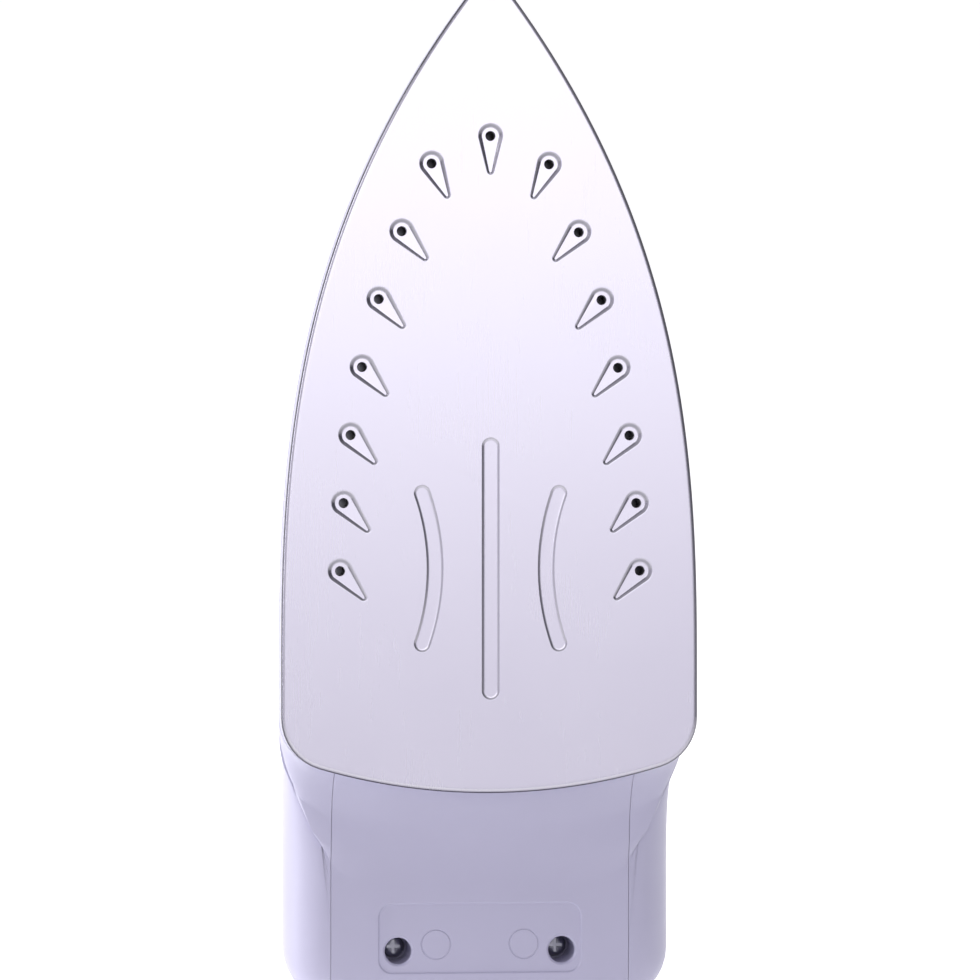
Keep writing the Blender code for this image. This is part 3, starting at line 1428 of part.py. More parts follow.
def spray_nozzle():
    rear, front = NOZZLE_FRONT_Y - NOZZLE_LENGTH, NOZZLE_FRONT_Y
    made = cone((0, rear, NOZZLE_Z), (0, front - 1.2 * mm, NOZZLE_Z), NOZZLE_RADIUS, NOZZLE_RADIUS)
    join(made, cone((0, front - 1.6 * mm, NOZZLE_Z), (0, front, NOZZLE_Z), NOZZLE_RADIUS, 3 * mm))
    cut(made, bar((0, rear - PAST, NOZZLE_Z), (0, front - 3 * mm, NOZZLE_Z), HOSE_RADIUS, 8))
    cut(made, bar((0, front - 4 * mm, NOZZLE_Z), (0, front + PAST, NOZZLE_Z), 0.6 * mm, 8))
    return finish(made, "spray_nozzle", "grip")


def hoses():
    start = BUTTON_Y + PUMP_RADIUS + PLAY
    end = NOZZLE_FRONT_Y - NOZZLE_LENGTH - PLAY
    spray = [
        (BUTTON_X, start, PUMP_OUTLET_Z),
        (BUTTON_X, start + 2 * mm, PUMP_OUTLET_Z),
        (BUTTON_X, start + 9 * mm, PUMP_OUTLET_Z - 4 * mm),
        (3 * mm, end - 6 * mm, NOZZLE_Z),
        (0, end - 2 * mm, NOZZLE_Z),
        (0, end, NOZZLE_Z),
    ]
    finish(tube(held_path(spray), HOSE_RADIUS, 1), "spray_hose", "silicone")
    x, y = STEAM_HOSE
    steam = [
        (-BUTTON_X, start, PUMP_OUTLET_Z),
        (-BUTTON_X, start + 2 * mm, PUMP_OUTLET_Z),
        (x, y, PUMP_OUTLET_Z - 7 * mm),
        (x, y, PUMP_OUTLET_Z - 16 * mm),
        (x, y, lid_top() + PLAY),
    ]
    finish(tube(held_path(steam), HOSE_RADIUS, 1), "steam_hose", "silicone")


def selector():
    low, high = SELECTOR_SEAT_Z, SELECTOR_SEAT_Z + SELECTOR_HEIGHT
    made = upright(0, SELECTOR_Y, low, high, SELECTOR_RADIUS, 24)
    half = LEVER_WIDTH / 2
    join(made, box((-half, SELECTOR_Y, low), (half, SELECTOR_Y + LEVER_LENGTH, high - 0.6 * mm)))
    join(made, upright(0, SELECTOR_Y, low - SELECTOR_NECK, low + 1 * mm, SELECTOR_NECK_RADIUS, 16))
    bore_top = NEEDLE_TOP_Z + NEEDLE_LIFT + 1 * mm
    cut(made, upright(0, SELECTOR_Y, low - SELECTOR_NECK - PAST, bore_top, NEEDLE_RADIUS + RUN_PLAY, 12))
    return finish(made, "steam_selector", "grip")


def needle():
    tip = 3 * mm
    made = upright(0, SELECTOR_Y, NEEDLE_TIP_Z + tip, NEEDLE_TOP_Z, NEEDLE_RADIUS, 12)
    point = (0, SELECTOR_Y, NEEDLE_TIP_Z)
    shoulder = (0, SELECTOR_Y, NEEDLE_TIP_Z + tip + 0.5 * mm)
    join(made, cone(point, shoulder, 0.5 * mm, NEEDLE_RADIUS - 0.05 * mm, 12))
    return finish(made, "steam_needle", "brass")


# ---------------------------------------------------------------- the filler cap


def filler_cap():
    rise = RUN_PLAY
    outline = rounded_rectangle(2 * CAP_HALF_WIDTH, CAP_LENGTH, CAP_HALF_WIDTH - 3 * mm)
    top = inset(outline[::-1], 0.8 * mm)[::-1]
    made = loft(
        [
            at_height(outline, rise),
            at_height(outline, rise + CAP_THICKNESS - 0.8 * mm),
            at_height(top, rise + CAP_THICKNESS),
        ]
    )
    half = BARREL_LENGTH / 2
    arm = box((-half, CAP_LENGTH / 2 - 3 * mm, rise), (half, HINGE_REACH, rise + CAP_THICKNESS))
    barrel = bar((-half, HINGE_REACH, HINGE_RISE), (half, HINGE_REACH, HINGE_RISE), BARREL_RADIUS, 12)
    join(made, arm, barrel)
    left, right = (-half - PAST, HINGE_REACH, HINGE_RISE), (half + PAST, HINGE_REACH, HINGE_RISE)
    cut(made, bar(left, right, HINGE_PIN_RADIUS + PLAY, 12))
    return finish(in_filler_frame(made), "filler_cap", "shell")


def cap_seal():
    made = upright(0, 0, -CAP_SEAL_DEPTH, RUN_PLAY - PLAY, CAP_SEAL_RADIUS, 20)
    return finish(in_filler_frame(made), "filler_seal", "silicone")


def hinge_pin():
    half = BARREL_LENGTH / 2 + LUG_WIDTH
    made = bar((-half, HINGE_REACH, HINGE_RISE), (half, HINGE_REACH, HINGE_RISE), HINGE_PIN_RADIUS, 12)
    return finish(in_filler_frame(made), "hinge_pin", "steel")


# ---------------------------------------------------------------- assembly


def empty(name, location=(0, 0, 0), parent=None):
    made = bpy.data.objects.new(name, None)
    made.empty_display_size = 10 * mm
    made.location = location
    made.parent = parent
    IRON.objects.link(made)
    return made


def hang(piece, holder, origin):
    """Parents a piece to a holder, with the piece's own origin at a point of the iron."""
    piece.data.transform(Matrix.Translation(-Vector(origin)))
    piece.parent = holder
    piece.location = Vector(origin) - (holder.location if holder.parent else Vector())


def middle_of(piece):
    corners = [Vector(c) for c in piece.bound_box]
    return sum(corners, Vector()) / len(corners)


def stand_on_heel(holder):
    """Turns the iron from its ironing pose onto its heel rest, which comes to the origin."""
    upended = Matrix(((-1, 0, 0, 0), (0, 0, 1, 0), (0, 1, 0, 0), (0, 0, 0, 1)))
    turned = Matrix.Rotation(-LEAN, 4, "X") @ upended
    rest = turned @ Vector((0, heel_plane_y(HEEL_POINT_Z), HEEL_POINT_Z))
    placed = Matrix.Translation(-rest) @ turned
    holder.location = placed.to_translation()
    holder.rotation_euler = placed.to_euler()


def build_pieces():
    sole_skin()
    heater_casting()
    heating_element()
    chamber_seal()
    chamber_lid()
    thermostat()
    thermal_fuse()
    fuse_clip()
    skirt()
    sole_screws()
    body_shell()
    rear_cover()
    cover_screws()
    tank()
    tank_floor()
    valve_seat()
    terminal_block()
    leads()
    dial()
    dial_shaft()
    clean_button()
    clean_spring()
    handle_lower()
    handle_upper()
    handle_screws()
    grip_insert()
    pilot_light()
    cord_gland()
    buttons()
    pistons()
    pumps()
    pump_springs()
    spray_nozzle()
    hoses()
    selector()
    needle()
    filler_cap()
    cap_seal()
    hinge_pin()


def joint_origins():
    hinge = filler_frame() @ Vector((0, HINGE_REACH, HINGE_RISE))
    selector_at = (0, SELECTOR_Y, SELECTOR_SEAT_Z)
    spray_at, steam_at = (BUTTON_X, BUTTON_Y, PISTON_Z), (-BUTTON_X, BUTTON_Y, PISTON_Z)
    clean_at = (0, CLEAN_Y, CLEAN_BOTTOM_Z)
    return {
        "dial_axis": ((0, DIAL_Y, DECK_Z), ("temperature_dial", "dial_shaft")),
        "selector_axis": (selector_at, ("steam_selector",)),
        "needle_axis": ((0, SELECTOR_Y, NEEDLE_TIP_Z), ("steam_needle",)),
        "spray_axis": (spray_at, ("spray_button", "spray_piston")),
        "steam_axis": (steam_at, ("steam_button", "steam_piston")),
        "self_clean_axis": (clean_at, ("self_clean_button",)),
        "filler_axis": (hinge, ("filler_cap", "filler_seal")),
        "gland_axis": (gland_middle(), ("cord_gland",)),
    }


def assemble():
    pieces = {piece.name: piece for piece in IRON.objects}
    stand = empty("iron")
    for name, (origin, moved) in joint_origins().items():
        holder = empty(name, origin, stand)
        for piece in moved:
            hang(pieces.pop(piece), holder, origin)
    for piece in pieces.values():
        hang(piece, stand, middle_of(piece))
    stand_on_heel(stand)


clear_scene()
IRON = new_collection("clothes_iron")
build_pieces()
assemble()
bpy.context.view_layer.update()
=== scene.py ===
# %% [markdown]
# # A steam iron on its heel rest
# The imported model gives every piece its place. Here each visible piece is made again as a fine
# surface, and each inner piece keeps its form and gets a worked finish. It could all be drawn by
# hand, but the iron is mostly lofts and turned shapes, so formulas make smoother surfaces.

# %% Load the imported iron
import json
import math

import bmesh
import bpy
from mathutils import Matrix, Vector


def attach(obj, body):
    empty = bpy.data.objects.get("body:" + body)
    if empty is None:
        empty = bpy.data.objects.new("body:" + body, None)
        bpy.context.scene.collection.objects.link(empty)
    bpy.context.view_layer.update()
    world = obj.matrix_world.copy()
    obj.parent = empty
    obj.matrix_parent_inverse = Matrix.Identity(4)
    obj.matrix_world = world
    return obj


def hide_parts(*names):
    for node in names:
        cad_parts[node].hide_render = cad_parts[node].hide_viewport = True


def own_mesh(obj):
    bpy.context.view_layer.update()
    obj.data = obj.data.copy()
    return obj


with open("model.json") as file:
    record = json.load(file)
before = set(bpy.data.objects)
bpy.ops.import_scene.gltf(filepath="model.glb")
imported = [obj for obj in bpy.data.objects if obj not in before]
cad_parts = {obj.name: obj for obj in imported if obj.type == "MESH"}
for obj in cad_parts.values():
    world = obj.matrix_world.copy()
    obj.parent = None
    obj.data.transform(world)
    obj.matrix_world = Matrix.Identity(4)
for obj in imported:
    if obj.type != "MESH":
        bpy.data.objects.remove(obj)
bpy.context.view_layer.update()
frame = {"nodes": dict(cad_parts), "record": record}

mm = 0.001

# %% [markdown]
# ## The ironing frame
# An iron is easiest to draw as it lies on cloth: +Y to the tip, +Z up from the sole, X across. The
# sole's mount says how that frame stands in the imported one, so no angle is copied by hand.

# %% Where the ironing frame stands
SOLE_MOUNT = next(m for m in frame["record"]["mounts"] if m["name"] == "sole_face")
SOLE_MOUNT_AT = Vector((10, 120, 0)) * mm  # the mount's place in the ironing frame
LEAN = math.asin(SOLE_MOUNT["axis"][2])
TURN = Matrix.Rotation(-LEAN, 4, "X") @ Matrix(((-1, 0, 0, 0), (0, 0, 1, 0), (0, 1, 0, 0), (0, 0, 0, 1)))
STAND = Matrix.Translation(Vector(SOLE_MOUNT["pos_m"]) - TURN @ SOLE_MOUNT_AT) @ TURN
print(f"the iron leans {math.degrees(LEAN):.2f} degrees back on its heel")

# %% [markdown]
# ## Camera, floor and light
# The picture looks square at the sole, with the tip up, from a little to the left. A big soft box
# over the camera gives the steel its white-to-lavender fall-off, and a strong box from the left
# models the plastic. A long lens from far away keeps the outline true.

# %% Camera
FIELD = 270.0 * mm  # what the frame spans at the sole
DISTANCE = 1.35
LOOK_AT = Vector((0.2, 83.6, 0)) * mm
VIEW_TURN, VIEW_ROLL = math.radians(6.5), math.radians(0.0)
SENSOR = 36


def in_iron(direction):
    return TURN.to_3x3() @ Vector(direction)


camera = bpy.data.objects.new("camera", bpy.data.cameras.new("camera"))
bpy.context.scene.collection.objects.link(camera)
camera.data.sensor_width = SENSOR
camera.data.lens = SENSOR * DISTANCE / FIELD
camera.data.clip_end = 50
out = in_iron((math.sin(VIEW_TURN), 0, -math.cos(VIEW_TURN)))
camera.location = STAND @ LOOK_AT + out * DISTANCE
up = Matrix.Rotation(VIEW_ROLL, 3, out) @ in_iron((0, 1, 0))
camera.rotation_euler = Matrix((up.cross(out), up, out)).transposed().to_euler()
bpy.context.scene.camera = camera
print(f"lens {camera.data.lens:.0f} mm at {DISTANCE} m")

# %% Lights


def area_light(name, at, aim, size, power, colour=(1, 1, 1)):
    """A soft box at a point, facing another, with its width and height in metres."""
    light = bpy.data.lights.new(name, "AREA")
    light.shape = "RECTANGLE"
    light.size, light.size_y = size
    light.energy = power
    light.color = colour
    made = bpy.data.objects.new(name, light)
    made.location = at
    made.rotation_euler = (Vector(at) - Vector(aim)).to_track_quat("Z", "Y").to_euler()
    bpy.context.scene.collection.objects.link(made)
    return made


IRON_MIDDLE = Vector((0, 0.03, 0.14))
area_light("front_box", (-0.1, -1.75, 0.92), IRON_MIDDLE, (1.6, 0.9), 4.1, (1.0, 0.985, 1.0))
area_light("left_box", (-1.05, 0.10, 0.45), IRON_MIDDLE, (0.45, 0.9), 8)
area_light("top_box", (0.2, 0.35, 1.5), IRON_MIDDLE, (0.8, 0.8), 5)

# %% World
world = bpy.data.worlds.new("studio")
bpy.context.scene.world = world
world.use_nodes = True
bpy.context.scene.view_settings.view_transform = "Standard"

# %% [markdown]
# ## Writing finishes as sums
# A finish is a node tree, and most of its nodes do arithmetic. Wiring them by hand hides the sum,
# so a small class wraps a socket and lets Python's operators add the Math nodes.

# %% Sockets that can be added and multiplied


class Wire:
    """A node's output. Arithmetic on it adds Math nodes to the finish's tree."""

    def __init__(self, finish, socket):
        self.finish, self.socket = finish, socket

    def math(self, operation, first, second):
        return self.finish.node("ShaderNodeMath", {"operation": operation}, {0: first, 1: second})

    def __add__(self, other):
        return self.math("ADD", self, other)

    def __rsub__(self, other):
        return self.math("SUBTRACT", other, self)

    def __mul__(self, other):
        return self.math("MULTIPLY", self, other)

    __radd__ = __add__
    __rmul__ = __mul__


class Finish:
    """A material with a Principled shader, written as expressions."""

    def __init__(self, name, **constants):
        self.material = bpy.data.materials.new(name)
        self.material.use_nodes = True
        self.tree = self.material.node_tree
        self.shader = self.tree.nodes["Principled BSDF"]
        for socket, value in constants.items():
            self.shader.inputs[socket.replace("_", " ")].default_value = value

    def node(self, kind, settings=None, inputs=None, output=0):
        """Any node: its settings first, then the values or wires of its sockets."""
        made = self.tree.nodes.new(kind)
        for name, value in (settings or {}).items():
            if name == "stops":
                for element, (place, shade) in zip(made.color_ramp.elements, value):
                    element.position, element.color = place, (shade, shade, shade, 1)
            else:
                setattr(made, name, value)
        for name, value in (inputs or {}).items():
            self.put(made.inputs[name], value)
        return Wire(self, made.outputs[output])

    def put(self, socket, value):
        if isinstance(value, Wire):
            self.tree.links.new(value.socket, socket)
        else:
            socket.default_value = value

    def drive(self, **values):
        """Wires or values for the shader's own sockets."""
        for socket, value in values.items():
            self.put(self.shader.inputs[socket.replace("_", " ")], value)
        return self

    def place(self, stretch=(1, 1, 1)):
        """Where on the piece a point lies, in metres, with each axis stretched."""
        here = self.node("ShaderNodeTexCoord", output="Object")
        return self.node("ShaderNodeMapping", {}, {"Vector": here, "Scale": stretch})

    def noise(self, size, detail=2.0, roughness=0.5, stretch=(1, 1, 1)):
        """Cloudy noise whose blotches are about that size, in metres."""
        settings = {
            "Vector": self.place(stretch),
            "Scale": 1 / size,
            "Detail": detail,
            "Roughness": roughness,
        }
        return self.node("ShaderNodeTexNoise", {}, settings)

    def pebbles(self, size):
        """Distance to the nearest cell's middle, for a pebbled grain of that size."""
        return self.node("ShaderNodeTexVoronoi", {}, {"Vector": self.place(), "Scale": 1 / size})

    def ramp(self, factor, *stops):
        return self.node("ShaderNodeValToRGB", {"stops": stops}, {0: factor})

    def blend(self, first, second, factor):
        """A colour between two colours."""
        first, second = (c if isinstance(c, Wire) else (*c, 1) for c in (first, second))
        inputs = {0: factor, 6: first, 7: second}
        return self.node("ShaderNodeMix", {"data_type": "RGBA"}, inputs, output=2)

    def soft_edges(self, radius):
        """The normal as if each sharp edge were rounded off a little."""
        return self.node("ShaderNodeBevel", {"samples": 6}, {"Radius": radius})

    def relief(self, height, depth, edge=0.0):
        """Raises the surface by height x depth metres, over slightly rounded edges."""
        inputs = {"Strength": 1.0, "Distance": depth, "Height": height}
        if edge:
            inputs["Normal"] = self.soft_edges(edge)
        return self.drive(Normal=self.node("ShaderNodeBump", {}, inputs))


print("a finish can now be written as a sum")

# %% [markdown]
# ## Finishes
# Each finish has the detail of the real one at its real size: rolled grain in the steel, a fine
# eroded grain in the moulded shell, pebbles in the soft grips. A flat colour would be quicker,
# and would look like paint.

# %% Metals


def pressed_steel():
    """Satin steel: faint rolling lines along the sole, and painted dark reflection and shade where the sheet
    turns: on the rim and on the walls of the dents.
    """
    made = Finish("satin_steel", Metallic=1.0)
    lines = made.noise(0.5 * mm, 3, stretch=(1, 0.012, 0.012))
    cloud = made.noise(35 * mm, 2)
    scuffs = made.ramp(made.noise(1.2 * mm, 6, 0.7, (1, 0.05, 0.05)), (0.62, 0), (0.75, 1))
    face = made.node("ShaderNodeTexCoord", output="Normal")
    square = {"operation": "DOT_PRODUCT"}
    turned_out = made.node("ShaderNodeVectorMath", square, {0: face, 1: in_iron((0, 0, -1))}, "Value")
    # Painted shade: wherever the steel tilts away from the flat face, on the rolled rim and the walls of the
    # drops and grooves, the colour goes near-black. It stands for the dark reflection and shade there.
    painted_tilt_shade_mask = made.ramp(turned_out, (0.62, 0), (0.985, 1))
    colour = made.blend((0.82, 0.80, 0.885), (0.845, 0.825, 0.905), cloud)
    colour = made.blend((0.07, 0.066, 0.09), colour, painted_tilt_shade_mask)
    made.drive(Base_Color=colour, Roughness=0.24 + 0.015 * lines + 0.04 * cloud + 0.03 * scuffs)
    return made.relief(lines + 0.3 * scuffs, 0.0004 * mm)


def cast_aluminium():
    made = Finish("cast_aluminium", Metallic=1.0)
    skin = made.noise(0.6 * mm, 4, 0.6)
    made.drive(
        Base_Color=made.blend((0.44, 0.44, 0.46), (0.66, 0.66, 0.68), skin),
        Roughness=0.42 + 0.2 * skin,
    )
    return made.relief(skin, 0.08 * mm, 0.3 * mm)


def drawn_brass():
    made = Finish("drawn_brass", Metallic=1.0)
    tarnish = made.noise(4 * mm, 4, 0.6)
    made.drive(
        Base_Color=made.blend((0.78, 0.58, 0.27), (0.52, 0.38, 0.17), tarnish),
        Roughness=0.26 + 0.16 * tarnish,
    )
    return made.relief(made.noise(0.3 * mm), 0.004 * mm, 0.2 * mm)


def plated_steel():
    made = Finish("plated_steel", Metallic=1.0)
    haze = made.noise(2 * mm, 4)
    made.drive(
        Base_Color=made.blend((0.66, 0.67, 0.70), (0.48, 0.49, 0.53), haze),
        Roughness=0.22 + 0.18 * haze,
    )
    return made.relief(made.noise(0.25 * mm), 0.003 * mm, 0.15 * mm)


SATIN_STEEL = pressed_steel()
CAST_ALUMINIUM = cast_aluminium()
DRAWN_BRASS = drawn_brass()
PLATED_STEEL = plated_steel()
print("metals:", [f.material.name for f in (SATIN_STEEL, CAST_ALUMINIUM, DRAWN_BRASS, PLATED_STEEL)])

# %% Plastics and rubber


def moulded(name, light, dark, roughness, grain, depth, edge=0.25 * mm, **constants):
    """A moulded plastic: slight flow marks in the colour and a fine eroded grain."""
    made = Finish(name, **constants)
    flow = made.noise(28 * mm, 3, 0.55)
    fine = made.noise(grain, 3, 0.6)
    specks = made.ramp(made.noise(0.8 * mm, 2), (0.70, 0), (0.78, 1))
    colour = made.blend(light, dark, 0.65 * flow + 0.2 * specks)
    made.drive(Base_Color=colour, Roughness=roughness + 0.10 * flow + 0.06 * fine)
    return made.relief(fine, depth, edge)


def pebbled(name, light, dark, roughness):
    """A soft grip plastic with a pebbled, hide-like grain."""
    made = Finish(name, Specular_IOR_Level=0.4)
    pebble = made.pebbles(0.7 * mm)
    worn = made.noise(18 * mm, 4, 0.6)
    made.drive(
        Base_Color=made.blend(light, dark, 0.6 * worn + 0.4 * pebble),
        Roughness=roughness + 0.12 * worn,
    )
    return made.relief(1 - pebble, 0.05 * mm, 0.25 * mm)


LILAC = moulded("lilac_shell", (0.56, 0.545, 0.695), (0.51, 0.495, 0.64), 0.30, 0.22 * mm, 0.006 * mm)
GREY_LILAC = pebbled("grey_lilac_grip", (0.115, 0.105, 0.165), (0.075, 0.07, 0.115), 0.52)
KNOB = moulded("grey_lilac_knob", (0.15, 0.14, 0.215), (0.11, 0.10, 0.165), 0.36, 0.25 * mm, 0.008 * mm)
TANK = moulded(
    "tinted_tank",
    (0.62, 0.64, 0.80),
    (0.54, 0.57, 0.74),
    0.12,
    0.9 * mm,
    0.003 * mm,
    Transmission_Weight=0.75,
)
SILICONE = moulded("red_silicone", (0.52, 0.17, 0.12), (0.40, 0.12, 0.09), 0.58, 0.3 * mm, 0.010 * mm)
CERAMIC = moulded("bisque_ceramic", (0.80, 0.77, 0.70), (0.70, 0.66, 0.58), 0.62, 0.4 * mm, 0.015 * mm)
LEAD = moulded("blue_lead", (0.10, 0.11, 0.28), (0.07, 0.08, 0.20), 0.42, 0.5 * mm, 0.006 * mm)
LENS = moulded(
    "red_lens",
    (0.75, 0.07, 0.04),
    (0.62, 0.05, 0.03),
    0.06,
    1.5 * mm,
    0.002 * mm,
    0.1 * mm,
    Transmission_Weight=0.5,
)
INK = moulded("white_marking", (0.80, 0.79, 0.84), (0.72, 0.71, 0.77), 0.40, 0.2 * mm, 0.003 * mm, 0.05 * mm)
print("plastics made")

# %% [markdown]
# ## Tools for shapes
# An outline is a list of (x, y) points, a loft joins outlines at several heights, and a turned
# piece is a profile spun about an axis. Cutters have their edge rounding built in, because a
# Bevel after a Boolean is held back by the smallest edge it meets.

# %% Making and placing meshes


def from_bmesh(work):
    bmesh.ops.recalc_face_normals(work, faces=work.faces)
    mesh = bpy.data.meshes.new("shape")
    work.to_mesh(mesh)
    work.free()
    made = bpy.data.objects.new("shape", mesh)
    bpy.context.scene.collection.objects.link(made)
    return made


LIP_TURNS = (0, 0.4, 0.8, 1.2, 1.57)  # radians, the steps of a rounded lip


def loft(rings, closed=False):
    """A solid through rings of equal length, with flat ends unless its rings close on themselves."""
    work = bmesh.new()
    rows = [[work.verts.new(point) for point in ring] for ring in rings]
    count = len(rows[0])
    for lower, upper in zip(rows, rows[1:] + ([rows[0]] if closed else [])):
        for i in range(count):
            k = (i + 1) % count
            work.faces.new((lower[i], lower[k], upper[k], upper[i]))
    if not closed:
        work.faces.new(rows[0])
        work.faces.new(rows[-1])
    return from_bmesh(work)


def at_height(outline, z):
    return [(x, y, z) for x, y in outline]


def combine(piece, other, operation):
    """Changes piece by other with a Boolean, and removes other."""
    step = piece.modifiers.new(operation, "BOOLEAN")
    step.operation, step.object, step.solver = operation, other, "MANIFOLD"
    bpy.context.view_layer.update()
    mesh = bpy.data.meshes.new_from_object(piece.evaluated_get(bpy.context.evaluated_depsgraph_get()))
    piece.modifiers.clear()
    piece.data = mesh
    bpy.data.objects.remove(other)
    return piece


def cut(piece, *others):
    for other in others:
        combine(piece, other, "DIFFERENCE")
    return piece


def join(piece, *others):
    for other in others:
        combine(piece, other, "UNION")
    return piece


def keep(piece, other):
    return combine(piece, other, "INTERSECT")


def merged(pieces):
    """Separate shapes as one object."""
    work = bmesh.new()
    for piece in pieces:
        work.from_mesh(piece.data)
        bpy.data.objects.remove(piece)
    return from_bmesh(work)


def fit(piece, name, finish, body="iron", stands_for=(), crease=32):
    """Stands a finished piece in its place, on its body, instead of its CAD nodes."""
    piece.name = piece.data.name = name
    piece.data.transform(STAND)
    piece.data.materials.clear()
    piece.data.materials.append(finish.material)
    piece.data.shade_smooth()
    piece.data.set_sharp_from_angle(angle=math.radians(crease))
    even = piece.modifiers.new("even_normals", "WEIGHTED_NORMAL")
    even.keep_sharp = True
    even.weight = 80
    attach(piece, body)
    if stands_for:
        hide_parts(*stands_for)
    print(f"{name}: {len(piece.data.polygons)} faces")
    return piece


# %% Boxes, turned pieces and tubes


def box(low, high):
    low, high = Vector(low), Vector(high)
    work = bmesh.new()
    bmesh.ops.create_cube(work, size=1)
    bmesh.ops.scale(work, vec=high - low, verts=work.verts)
    bmesh.ops.translate(work, vec=(low + high) / 2, verts=work.verts)
    return from_bmesh(work)


def turned(profile, start, along=(0, 0, 1), sides=48):
    """A solid of revolution: profile gives (distance along, radius), from one end to the other."""
    along = Vector(along).normalized()
    across = along.orthogonal().normalized()
    other = along.cross(across)
    rings = []
    for reach, radius in profile:
        spokes = [2 * math.pi * k / sides for k in range(sides)]
        middle = Vector(start) + along * reach
        rings.append(
            [
                middle + (across * math.cos(a) + other * math.sin(a)) * max(radius, 0.004 * mm)
                for a in spokes
            ]
        )
    return loft(rings)


def arc(middle_reach, middle_radius, radius, first, last, steps=6):
    """Part of a turned profile: an arc from one angle to another, in degrees from the axis."""
    points = []
    for k in range(steps + 1):
        a = math.radians(first + (last - first) * k / steps)
        points.append((middle_reach + radius * math.cos(a), middle_radius + radius * math.sin(a)))
    return points


def upright(x, y, z_from, z_to, radius, sides=48):
    return turned([(0, radius), (z_to - z_from, radius)], (x, y, z_from), sides=sides)


def flared(x, y, z_from, z_top, radius, lip, sides=48):
    """A round cutter that widens by a rounded lip where it leaves the surface at z_top."""
    depth = z_top - z_from
    rounding = [(depth - lip + lip * math.sin(a), radius + lip * (1 - math.cos(a))) for a in LIP_TURNS]
    return turned([(0, radius), *rounding, (depth + 3 * mm, radius + lip)], (x, y, z_from), sides=sides)


def tube(points, radius, sides=12):
    """A round wire along points, closed at its ends, with frames carried along so it never twists."""
    points = [Vector(p) for p in points]
    rings, side = [], None
    for i, here in enumerate(points):
        along = (points[min(i + 1, len(points) - 1)] - points[max(i - 1, 0)]).normalized()
        side = along.orthogonal().normalized() if side is None else (
            side - along * side.dot(along)
        ).normalized()
        other = along.cross(side)
        spokes = [2 * math.pi * k / sides for k in range(sides)]
        rings.append([here + (side * math.cos(a) + other * math.sin(a)) * radius for a in spokes])
    return loft(rings)


def rounded_rectangle(width, length, corner, middle=(0, 0), steps=8):
    outline = []
    for quarter, (sx, sy) in enumerate(((1, 1), (-1, 1), (-1, -1), (1, -1))):
        for k in range(steps + 1):
            a = math.pi / 2 * (quarter + k / steps)
            x = middle[0] + sx * (width / 2 - corner) + corner * math.cos(a)
            outline.append((x, middle[1] + sy * (length / 2 - corner) + corner * math.sin(a)))
    return outline


def inset(outline, distance):
    """The outline moved inwards by a distance, along the bisector at each corner."""
    moved = []
    count = len(outline)
    pairs = [(outline[i], outline[(i + 1) % count]) for i in range(count)]
    way = 1 if sum(a[0] * b[1] - b[0] * a[1] for a, b in pairs) > 0 else -1
    for i in range(count):
        before, here, after = (Vector(outline[(i + k) % count]) for k in (-1, 0, 1))
        first, second = (here - before).normalized() * way, (after - here).normalized() * way
        inward = Vector((-first.y - second.y, first.x + second.x)).normalized()
        moved.append(tuple(here + inward * distance / max(0.3, inward.dot(Vector((-first.y, first.x))))))
    return moved


def pocket(outline, z_floor, z_top, lip, slope=0.0):
    """A cutter for a recess from z_top down to z_floor, with a rounded lip and sloped sides."""
    side = 1 if z_top > z_floor else -1
    height = abs(z_top - z_floor)
    rings = [at_height(inset(outline, slope), z_floor)]
    rings.append(at_height(inset(outline, slope * lip / height), z_top - side * lip))
    for a in (30, 60, 90):
        turn = math.radians(a)
        rings.append(
            at_height(
                inset(outline, -lip * (1 - math.cos(turn))),
                z_top - side * lip * (1 - math.sin(turn)),
            )
        )
    rings.append(at_height(inset(outline, -lip), z_top + side * 3 * mm))
    return loft(rings)


print("pockets have rounded lips")

# %% [markdown]
# ## Background
# The iron stands on a matt white table that glows a little behind it, so the far edge melts into
# white. The sky holds what the steel mirrors: lavender in front, dark at the right, white behind.

# %% The table
TABLE_REACH, TABLE_BOTTOM, TABLE_TOP = 6.0, -0.02, -0.1 * mm
CORNERS = ((-1, -1), (1, -1), (1, 1), (-1, 1))


def table_ring(z):
    return [(x * TABLE_REACH, y * TABLE_REACH, z) for x, y in CORNERS]


floor_mesh = loft([table_ring(TABLE_BOTTOM), table_ring(TABLE_TOP)])
FLOOR = Finish("white_table", Roughness=0.55, Emission_Strength=0.52)
where = FLOOR.node("ShaderNodeSeparateXYZ", {}, {"Vector": FLOOR.place()}, output=1)
GLOW_FROM_Y, GLOW_TO_Y = -0.12, 0.0  # metres, from in front of the iron to behind it
glow = FLOOR.node("ShaderNodeMapRange", {}, {"Value": where, "From Min": GLOW_FROM_Y, "From Max": GLOW_TO_Y})
FLOOR.drive(Emission_Color=FLOOR.blend((0, 0, 0), (1, 1, 1), glow))
FLOOR.drive(Base_Color=FLOOR.blend((0.93, 0.93, 0.93), (0.90, 0.90, 0.90), FLOOR.noise(40 * mm)))
floor_mesh.name = "table"
floor_mesh.data.materials.append(FLOOR.material)
print(f"table {2 * TABLE_REACH:.0f} m across")

# %% The sky that the steel mirrors
LAVENDER_LOW, LAVENDER_HIGH = (0.65, 0.625, 0.73, 1), (0.56, 0.55, 0.60, 1)
DARK_SIDE, PALE_BACK = (0.05, 0.05, 0.065, 1), (0.62, 0.62, 0.62, 1)
sky = world.node_tree
sky.nodes.clear()


def sky_node(kind, settings=None, inputs=None):
    made = sky.nodes.new(kind)
    for name, value in (settings or {}).items():
        setattr(made, name, value)
    for name, value in (inputs or {}).items():
        if hasattr(value, "is_output"):
            sky.links.new(value, made.inputs[name])
        else:
            made.inputs[name].default_value = value
    return made


